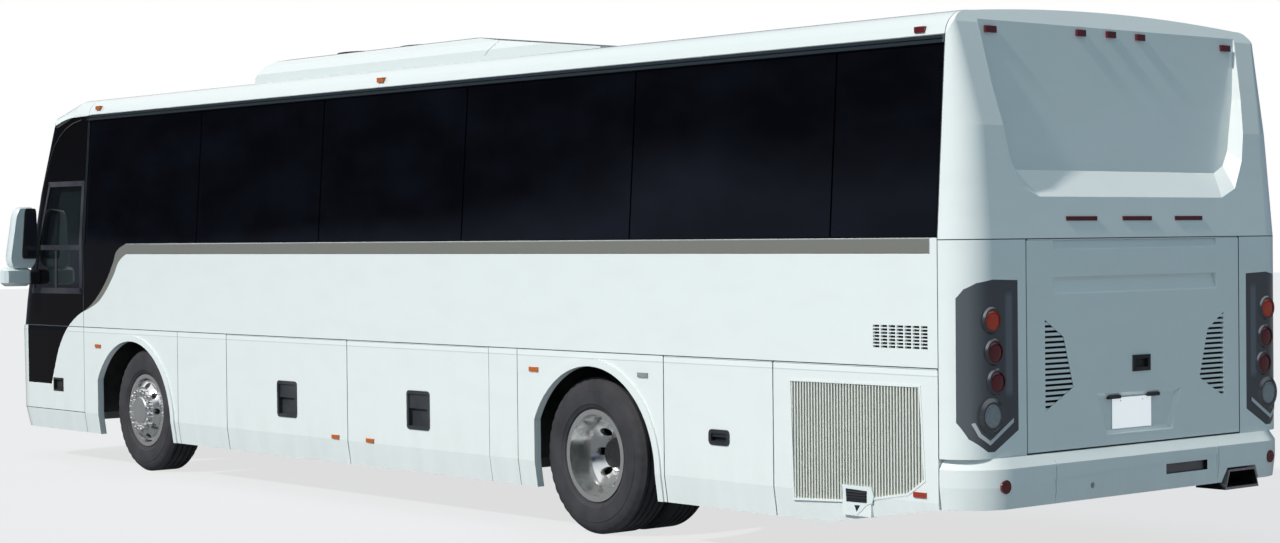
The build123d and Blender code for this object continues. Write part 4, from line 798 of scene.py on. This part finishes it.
def on_strip(corners, normal):
    """A test for the bright strip of the tail lamps, which stands off the corner post's skin."""
    for c in corners:
        side = max(abs(c.y) - (HALF - REAR_CORNER_R), 0.0)
        back = max(REAR_X + REAR_CORNER_R - c.x, 0.0)
        if c.z > STRIP_TOP_Z or math.hypot(side, back) - REAR_CORNER_R < STRIP_OUT:
            return False
    return True


HUB_R = 0.118  # the dark middle of the deep rear wheels


def middle_of(name):
    low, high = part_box(name)
    return (low + high) / 2


def near_axle(name):
    axle = middle_of(name)
    return lambda corners, normal: all(math.hypot(c.x - axle.x, c.z - axle.z) <= HUB_R for c in corners)


CAB_GLASS = within((behind(1.335), NOSE_X), z=(1.3, 2.2))
SOOT = within((REAR_X + 0.1, 9), facing=(-1, 0, 0))  # the inside of the exhaust pipe


def paint_rest():
    for name in ("left_knuckle", "right_knuckle", "front_axle", "rear_axle", "underframe"):
        paint_node(name, "chassis")
    paint_node("engine_block", "iron")
    paint_node("floor_deck", "vinyl")
    paint_node("luggage_bay", "bay")
    paint_node("exhaust_pipe", "exhaust", ("dark", SOOT))
    paint_node("side_windows", "glass", ("cab_glass", CAB_GLASS))
    paint_node("windscreen", "screen")
    paint_node("passenger_door", "paint", ("lining", facing_in))
    paint_node("passenger_door_glass", "cab_glass")
    paint_node("driver_station", "dash")
    for side in ("left", "right"):
        paint_node(f"front_{side}_rim", "alloy")
        rims = f"rear_{side}_rims"
        paint_node(rims, "alloy", ("hub", near_axle(rims)))


# ---- Making pieces ----
class Pile:
    """Points and faces collected for one object, with a material for each face."""

    def __init__(self):
        self.points = []
        self.faces = []
        self.keys = []

    def add(self, points, faces, keys):
        start = len(self.points)
        self.points += [Vector(p) for p in points]
        self.faces += [[start + i for i in face] for face in faces]
        self.keys += keys

    def rows(self, rows, key, solid=True):
        """A skin over rows of equally many points; a solid one is closed round and at its ends."""
        count = len(rows[0])
        span = count if solid else count - 1
        points = [p for row in rows for p in row]
        faces = []
        for r in range(len(rows) - 1):
            for i in range(span):
                j = (i + 1) % count
                faces.append((r * count + i, r * count + j, (r + 1) * count + j, (r + 1) * count + i))
        if solid:
            faces.append(tuple(reversed(range(count))))
            faces.append(tuple(range((len(rows) - 1) * count, len(rows) * count)))
        self.add(points, faces, [key] * len(faces))

    def lathe(self, profile, centre, axis, key, segments=48, depth=None):
        """Turns (radius, place along the axis) rows about an axis through the centre.
        depth(row, step) gives what is taken off a radius."""
        rows = []
        for step in range(segments):
            turn = 2 * math.pi * step / segments
            row = []
            for index, (radius, along) in enumerate(profile):
                r = radius - (depth(index, step) if depth else 0.0)
                a, b = r * math.cos(turn), r * math.sin(turn)
                spot = {"x": (along, a, b), "y": (b, along, a), "z": (a, b, along)}[axis]
                row.append(Vector(centre) + Vector(spot))
            rows.append(row)
        self.rows(rows + rows[:1], key, solid=False)

    def box(self, low, high, key, bevel):
        """A box, with its edges cut back by the bevel."""
        (x0, y0, z0), (x1, y1, z1), b = low, high, bevel
        outline = [
            (x0 + b, y0), (x1 - b, y0), (x1, y0 + b), (x1, y1 - b),
            (x1 - b, y1), (x0 + b, y1), (x0, y1 - b), (x0, y0 + b),
        ]

        def drawn_in(value, start, end, by):
            off = value - (start + end) / 2
            return (start + end) / 2 + math.copysign(max(abs(off) - by, 0.0), off)

        rows = []
        for z, by in ((z0, b), (z0 + b, 0.0), (z1 - b, 0.0), (z1, b)):
            rows.append([(drawn_in(x, x0, x1, by), drawn_in(y, y0, y1, by), z) for x, y in outline])
        self.rows(rows, key)

    def tube(self, path, radius, key, sides=8):
        """A round bar along a path of points."""
        path = [Vector(p) for p in path]
        rows = []
        for i, point in enumerate(path):
            way = (path[min(i + 1, len(path) - 1)] - path[max(i - 1, 0)]).normalized()
            side = way.cross(Vector((0, 0, 1)))
            if side.length < 0.1:
                side = way.cross(Vector((0, 1, 0)))
            side.normalize()
            up = side.cross(way)
            turns = [2 * math.pi * s / sides for s in range(sides)]
            rows.append([point + (side * math.cos(t) + up * math.sin(t)) * radius for t in turns])
        self.rows(rows, key)

    def join(self, other, side=1):
        """Adds another pile, or its mirror image on the other side when side is -1."""
        points = [(p.x, side * p.y, p.z) for p in other.points]
        self.add(points, [face[::side] for face in other.faces], other.keys)

    def build(self, name, body, stands_for=(), smooth=35.0):
        keys = sorted(set(self.keys))
        mesh = bpy.data.meshes.new(name)
        mesh.from_pydata([tuple(p) for p in self.points], [], self.faces)
        for key in keys:
            mesh.materials.append(M[key])
        for polygon, key in zip(mesh.polygons, self.keys):
            polygon.material_index = keys.index(key)
        mesh.shade_smooth()
        mesh.set_sharp_from_angle(angle=math.radians(smooth))
        piece = new_object(name, mesh)
        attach(piece, body)
        if stands_for:
            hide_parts(*stands_for)
        return piece


# ---- Tyres ----
TYRE_R = 0.455
TYRE_W = 0.270
RIM_R = 0.268
TREAD_GROOVES = (-0.066, -0.022, 0.022, 0.066)  # across the tread
GROOVE = ((-0.007, 0.0), (-0.004, 0.013), (0.004, 0.013), (0.007, 0.0))  # (across, depth)
# The side from the bead to the tread: (beyond the rim, inset from the widest place).
TYRE_SIDE = (
    (-0.016, 0.031), (0.003, 0.030), (0.012, 0.016), (0.030, 0.009), (0.034, 0.0045),
    (0.060, 0.002), (0.082, 0.0), (0.117, 0.001), (0.120, 0.004), (0.137, 0.005),
    (0.165, 0.016), (0.168, 0.019), (0.179, 0.031), (0.187, 0.042),
)
TREAD_STEPS = 120
NOTCH_ROWS = (10, 11, 12)  # rows of the side that have notches
NOTCH_EVERY = 3  # steps round the tread
NOTCH_DEPTH = 0.006


def tyre_profile():
    """(radius, across) from the inner bead over the tread to the outer bead."""
    side = [(RIM_R + out, TYRE_W / 2 - inset) for out, inset in TYRE_SIDE]
    tread = [(TYRE_R - depth, place + x) for place in TREAD_GROOVES for x, depth in GROOVE]
    return [(r, -a) for r, a in side] + tread + side[::-1]


def add_tyre(pile, centre):
    profile = tyre_profile()

    def notches(row, step):
        from_bead = min(row, len(profile) - 1 - row)
        return NOTCH_DEPTH if from_bead in NOTCH_ROWS and step % NOTCH_EVERY == 0 else 0.0

    pile.lathe(profile, centre, "y", "rubber", TREAD_STEPS, notches)


WHEELS = (
    ("front_left_wheel", "front_left_tyre", 1),
    ("rear_left_wheel", "rear_left_tyres", 2),
    ("front_right_wheel", "front_right_tyre", 1),
    ("rear_right_wheel", "rear_right_tyres", 2),
)
TWIN_SPACING = 0.300


def make_tyres():
    for body, node, count in WHEELS:
        pile = Pile()
        places = [0.0] if count == 1 else [-TWIN_SPACING / 2, TWIN_SPACING / 2]
        for place in places:
            add_tyre(pile, middle_of(node) + Vector((0, place, 0)))
        pile.build("tread_" + node, body, (node,), 30)


# ---- Wheel trims: nut caps on both kinds of wheel ----
NUTS = {1: 20, 2: 10}  # by the number of tyres on the wheel
NUT_R = {1: 0.74, 2: 1.0}  # how wide a nut is, against the width drawn below
NUT_RING_R = 0.142
FRONT_NUT_FACE = 0.144  # across, from the middle of the wheels on an axle end
REAR_NUT_FACE = 0.018
NUT_CAP = 0.030


def make_wheel_trims():
    for body, node, count in WHEELS:
        middle = middle_of(node)
        side = math.copysign(1, middle.y)
        pile = Pile()
        face = FRONT_NUT_FACE if count == 1 else REAR_NUT_FACE
        top = face + NUT_CAP
        for i in range(NUTS[count]):
            turn = 2 * math.pi * (i + 0.5) / NUTS[count]
            spot = middle + Vector((NUT_RING_R * math.cos(turn), 0, NUT_RING_R * math.sin(turn)))
            profile = [(0.021, face), (0.021, face + 0.006), (0.0175, face + 0.008), (0.0172, top)]
            profile += [(0.013, top + 0.006), (0.006, top + 0.009), (0.0, top + 0.0095)]
            pile.lathe([(r * NUT_R[count], side * a) for r, a in profile], spot, "y", "chrome", 12)
        pile.build("trim_" + body, body)


# ---- Mirrors ----
def rounded_square(radius, steps):
    """Points round a unit square with round corners."""
    points = []
    for cy, cz, start in ((1, 1, 0), (0, 1, 90), (0, 0, 180), (1, 0, 270)):
        for s in range(steps + 1):
            turn = math.radians(start + 90 * s / steps)
            y = abs(cy - radius) + radius * math.cos(turn)
            points.append((y, abs(cz - radius) + radius * math.sin(turn)))
    return points


HEAD_Z = (1.515, 1.995)
HEAD_TOP_Y = (HALF + 0.040, HALF + 0.190)
HEAD_FOOT_Y = (HALF + 0.028, HALF + 0.262)
# Sections of the head from its rear face forwards: (share of the depth, growth).
HEAD_SECTIONS = ((0.0, -0.012), (0.08, 0.0), (0.7, -0.004), (0.93, -0.022), (1.0, -0.05))
HOOD_SHARE = 0.58  # how much of the head's width the black hood around the glass takes
# The hood and the glasses in it, as (material, how far out, inset, height).
MIRROR_FACES = (
    ("black_plastic", 0.012, 0.0, (1.588, 1.985)),
    ("mirror", 0.014, 0.016, (1.700, 1.955)),
    ("mirror", 0.014, 0.016, (1.606, 1.688)),
)


def head_y(z, share):
    """A place across the head at a height, from its inner edge (0) to its outer edge (1)."""
    rise = (z - HEAD_Z[0]) / (HEAD_Z[1] - HEAD_Z[0])
    inner, outer = (part_way(foot, top, rise) for foot, top in zip(HEAD_FOOT_Y, HEAD_TOP_Y))
    return part_way(inner, outer, share)


def mirror_head(pile, x0, x1):
    """A rounded white shell with a black hood on its inner part, around two glasses."""
    middle = (head_y(sum(HEAD_Z) / 2, 0.5), sum(HEAD_Z) / 2)
    rows = []
    for share, grow in HEAD_SECTIONS:
        row = []
        for y, z in rounded_square(0.22, 5):
            height = part_way(*HEAD_Z, z)
            across = head_y(height, y)
            dy, dz = across - middle[0], height - middle[1]
            size = math.hypot(dy, dz)
            x = part_way(x0, x1, share)
            row.append((x, across + dy / size * grow, height + dz / size * grow))
        rows.append(row)
    pile.rows(rows, "shell")
    for key, out, inset, (foot, top) in MIRROR_FACES:
        outline = []
        for y, z in rounded_square(0.12, 4):
            height = part_way(foot, top, z)
            low = head_y(height, -0.02) + inset
            high = head_y(height, HOOD_SHARE) - inset
            outline.append((part_way(low, high, y), height))
        faces = [[(x, y, z) for y, z in outline] for x in (x0 - out, x0 + 0.03)]
        pile.rows(faces, key)


MIRROR_PLACES = ((behind(0.640), behind(0.500), 1), (behind(0.478), behind(0.358), -1))
HEAD_BACK = 0.014  # the shell starts this far ahead of the arm's rear end


def make_mirrors():
    both = Pile()
    for x0, x1, side in MIRROR_PLACES:
        pile = Pile()
        mirror_head(pile, x0 + HEAD_BACK, x1)
        pile.box((x0 + 0.012, HALF + 0.07, 1.372), (x1, HALF + 0.293, 1.520), "shell", 0.026)
        pile.box((x0 + 0.03, HALF - 0.09, 1.385), (x1 - 0.02, HALF + 0.13, 1.500), "black_plastic", 0.02)
        both.join(pile, side)
    both.build("mirror_heads", "body", ("mirrors",), 40)


# ---- Seats ----
SEAT_TILT = math.radians(-8.5)
CUSHION_STEPS = 6
CUSHION_SIDES = 24


def cushion(pile, size, place, key, crown=0.0, tilt=SEAT_TILT):
    """A crowned pad: depth, width and height about its middle, with its sides pulled in."""
    dx, dy, dz = (s / 2 for s in size)
    turn = Matrix.Rotation(tilt, 3, "Y")
    rows = []
    for i in range(CUSHION_STEPS * 2 + 1):
        lift = -1 + i / CUSHION_STEPS
        ring = []
        squeeze = max((1 - min(abs(lift), 1) ** 4) ** 0.25, 0.02)
        for a in range(CUSHION_SIDES):
            t = 2 * math.pi * a / CUSHION_SIDES
            c, s = math.cos(t), math.sin(t)
            px = dx * math.copysign(abs(c) ** 0.35, c) * squeeze
            py = dy * math.copysign(abs(s) ** 0.35, s) * squeeze
            swell = crown * (1 - (px / dx) ** 2) * (1 - (py / dy) ** 2) * lift
            ring.append(turn @ Vector((px, py, dz * lift + swell)) + Vector(place))
        rows.append(ring)
    pile.rows(rows, key)


SEAT_ROWS = 10
FIRST_ROW_X = ahead(0.900)
LAST_ROW_X = behind(2.600)
DECK_Z = 1.120
CAB_Z = 0.780
AISLE = 0.330
SEAT_OUT = HALF - 0.105  # clear of the wall


def coach_seat(pile, x, floor, y0, y1, scale=1.0):
    """One seat, or two side by side where there is room, on a shared foot."""
    count = 2 if y1 - y0 > 0.7 else 1
    each = (y1 - y0) / count
    wide = each - 0.02
    for i in range(count):
        y = y0 + each * (i + 0.5)
        seat = (x + 0.235 * scale, y, floor + 0.375)
        cushion(pile, (0.44 * scale, wide, 0.125), seat, "cloth", 0.012, 0.0)
        cushion(pile, (0.115, wide, 0.62), (x - 0.005, y, floor + 0.68), "cloth")
        cushion(pile, (0.10, each * 0.62, 0.16), (x - 0.045, y, floor + 0.915), "piping")
    pile.box((x + 0.09, y0 + 0.05, floor), (x + 0.36, y1 - 0.05, floor + 0.30), "steel", 0.01)


def make_seats():
    pile = Pile()
    for row in range(SEAT_ROWS):
        x = part_way(FIRST_ROW_X, LAST_ROW_X, row / (SEAT_ROWS - 1))
        coach_seat(pile, x, DECK_Z, AISLE, SEAT_OUT)
        coach_seat(pile, x, DECK_Z, -SEAT_OUT, -AISLE)
    coach_seat(pile, behind(1.26), CAB_Z, HALF - 0.895, HALF - 0.395, 0.9)
    seats = pile.build("coach_seats", "body", ("seats",), 60)


# ---- Lamps ----
DOME_RISE = 0.007
DOME_STEPS = 8


def dome(pile, centre, radius, key):
    """A shallow lens with a stepped face, towards the rear."""
    profile = []
    for i in range(DOME_STEPS + 1):
        share = 1 - i / DOME_STEPS
        lift = DOME_RISE * math.sqrt(1 - share**2) - (0.0006 if i % 2 else 0.0)
        profile.append((radius * share, -lift))
    pile.lathe(profile, centre, "x", key, 32)


LENS_BACK = 0.0042  # a tail lamp's lens starts this far behind the rear wall
COLLAR = (0.008, "ring")  # width beyond the rim, material
CLEAR_COLLAR = (0.020, "shell_grey")


def make_tail_lenses():
    """Domed lenses, their rims and the tube-like collars behind the smoked cover."""
    pile = Pile()
    for y, z, radius, key in TAIL_LAMPS:
        wide, collar_key = CLEAR_COLLAR if key == "clear" else COLLAR
        for side in (1, -1):
            centre = (REAR_X - LENS_BACK, side * y, z)
            dome(pile, centre, radius - 0.0015, key)
            edge = (radius + 0.0095, -0.0052)
            rim = [(radius, -0.002), (radius + 0.001, -0.0055), (radius + 0.005, -0.0065), edge]
            pile.lathe(rim, centre, "x", "ring", 40)
            collar = [edge, (radius + 0.0095 + wide, LENS_BACK + 0.001)]
            pile.lathe(collar, centre, "x", collar_key, 40)
    pile.build("tail_lenses", "body")


# ---- Surfaces to lay thin pieces on ----
def surface(*names):
    pile = Pile()
    for name in names:
        mesh = nodes[name].data
        pile.add([v.co for v in mesh.vertices], [list(p.vertices) for p in mesh.polygons], [])
    return BVHTree.FromPolygons(pile.points, pile.faces)


def laid(tree, spots, way, lift):
    """Drops points along a direction on to a surface and lifts them off it."""
    path = []
    way = Vector(way)
    for spot in spots:
        hit, normal, _, _ = tree.ray_cast(Vector(spot), way)
        if hit:
            path.append(hit + normal * (lift if normal.dot(way) < 0 else -lift))
    return path


WIPERS = ((0.55, -0.38), (-0.50, -1.02))  # across: foot of the arm and middle of the blade


def make_wipers():
    """Two wipers, parked low on the windscreen."""
    tree = surface("windscreen", "front_cap")
    pile = Pile()
    for foot, tip in WIPERS:
        arm = [(NOSE_X + 1, part_way(foot, tip, s / 8), 1.20 + 0.02 * s) for s in range(9)]
        pile.tube(laid(tree, arm, (-1, 0, 0), 0.014), 0.007, "black_plastic")
        blade = [(NOSE_X + 1, tip - 0.42 + 0.07 * s, 1.30 + 0.10 * s / 12) for s in range(13)]
        pile.tube(laid(tree, blade, (-1, 0, 0), 0.010), 0.007, "seal")
    pile.build("wipers", "body")


# The upper edge of the quarter glass beside the driver: (place along, height).
CAB_GLASS_LINE = (
    (3.99, 2.664), (4.132, 2.664), (4.28, 2.642), (4.405, 2.602),
    (4.507, 2.539), (4.585, 2.474), (4.652, 2.374), (4.722, 2.241),
    (4.748, 2.173),
)
SIDE_START = 2.0  # points are dropped on to the left side from this far out
# Frames of the driver's sliding window: the (place along, height) of both ends, and half the width.
CAB_FRAMES = (
    (((4.650, 2.172), (4.030, 2.170)), 0.020),
    (((4.048, 2.188), (4.048, 1.318)), 0.022),
    (((4.800, 1.676), (4.050, 1.673)), 0.020),
    (((4.910, 1.334), (4.030, 1.338)), 0.022),
    (((4.470, 1.665), (4.480, 1.345)), 0.016),
    (((4.626, 2.185), (4.884, 1.335)), 0.014),
)
FRAME_OUT = 0.004
STRIP_STEPS = 14


def strip(pile, tree, ends, half_width):
    """A thin flat bar laid along the left side, between two (place along, height) points."""
    (x0, z0), (x1, z1) = ends
    size = math.hypot(x1 - x0, z1 - z0) / half_width
    rows = []
    for step in range(STRIP_STEPS + 1):
        x, z = (part_way(*pair, step / STRIP_STEPS) for pair in ((x0, x1), (z0, z1)))
        dx, dz = (z0 - z1) / size, (x1 - x0) / size
        sides = [(x + dx, SIDE_START, z + dz), (x - dx, SIDE_START, z - dz)]
        top = laid(tree, sides, (0, -1, 0), FRAME_OUT)
        low = laid(tree, sides, (0, -1, 0), -0.001)
        if len(top) == 2 and len(low) == 2:
            rows.append([low[0], top[0], top[1], low[1]])
    pile.rows(rows, "frame_grey")


def make_cab_trim():
    """The edge of the quarter glass and the frames of the sliding window beside the driver."""
    tree = surface("front_cap", "side_windows")
    left = Pile()
    edge = laid(tree, [(x, SIDE_START, z) for x, z in CAB_GLASS_LINE], (0, -1, 0), 0.001)
    left.tube(edge, 0.004, "frame_grey", 6)
    pile = Pile()
    pile.join(left)
    pile.join(left, -1)
    for ends, half_width in CAB_FRAMES:
        strip(pile, tree, ends, half_width)
    pile.build("cab_window_frames", "body")


# ---- Latch under the radiator grille ----
# Outlines as (ahead of the rear wall, height).
BRACKET = (
    (0.869, 0.450), (0.658, 0.450), (0.640, 0.401), (0.652, 0.367),
    (0.688, 0.357), (0.761, 0.300), (0.841, 0.350), (0.862, 0.399),
)
LATCH_HOLE = ((0.840, 0.431), (0.687, 0.427), (0.688, 0.367), (0.836, 0.365))
FOOT_HOLE = ((0.778, 0.350), (0.737, 0.352), (0.761, 0.318))
LATCH_BARS_Z = (0.385, 0.399, 0.413)
LATCH_OUT = HALF + 0.005  # how far out the solid latch reaches


def plate(pile, outline, y0, y1, key):
    """A flat plate on the left side, from an outline of (ahead of the rear wall, height)."""
    pile.rows([[(ahead(x), y, z) for x, z in outline] for y in (y0, y1)], key)


def make_latch():
    pile = Pile()
    plate(pile, BRACKET, LATCH_OUT - 0.004, LATCH_OUT + 0.003, "shell")
    for hole in (LATCH_HOLE, FOOT_HOLE):
        plate(pile, hole, LATCH_OUT, LATCH_OUT + 0.0045, "black_plastic")
    for z in LATCH_BARS_Z:
        high = (ahead(0.831), LATCH_OUT + 0.009, z + 0.006)
        pile.box((ahead(0.695), LATCH_OUT, z), high, "pull", 0.0015)
    pile.build("radiator_latch", "radiator_door_body")


# ---- Roof unit: fan grilles ----
FANS = (0.45, 1.25)
FAN_Y = 0.36
FAN_R = 0.30
FAN_RINGS = 6
FAN_SUNK = 0.006  # the fans' rims lie this far under the highest point that they cover


def make_roof_details():
    pile = Pile()
    tree = surface("roof_unit")
    for x in FANS:
        for y in (FAN_Y, -FAN_Y):
            top = laid(tree, [(x, y, 4)], (0, 0, -1), 0.0)[0].z - FAN_SUNK
            rim = [(FAN_R, -0.02), (FAN_R, 0.003), (FAN_R - 0.02, 0.004), (FAN_R - 0.03, -0.02)]
            pile.lathe(rim, (x, y, top + 0.004), "z", "black_plastic", 40)
            for ring in range(FAN_RINGS):
                r = 0.04 + ring * 0.045
                bar = [(r, -0.01), (r, 0.004), (r + 0.008, 0.004), (r + 0.008, -0.01)]
                pile.lathe(bar, (x, y, top + 0.004), "z", "black_plastic", 32)
    pile.build("roof_fans", "body")


make_camera()
make_world()
make_sun()
make_floor()
bpy.context.scene.view_settings.view_transform = "Standard"

paint_doors()
paint_body()
paint_engine_door()
paint_lamps()
paint_rest()
make_tyres()
make_wheel_trims()
make_mirrors()
make_seats()
make_tail_lenses()
make_wipers()
make_cab_trim()
make_latch()
make_roof_details()
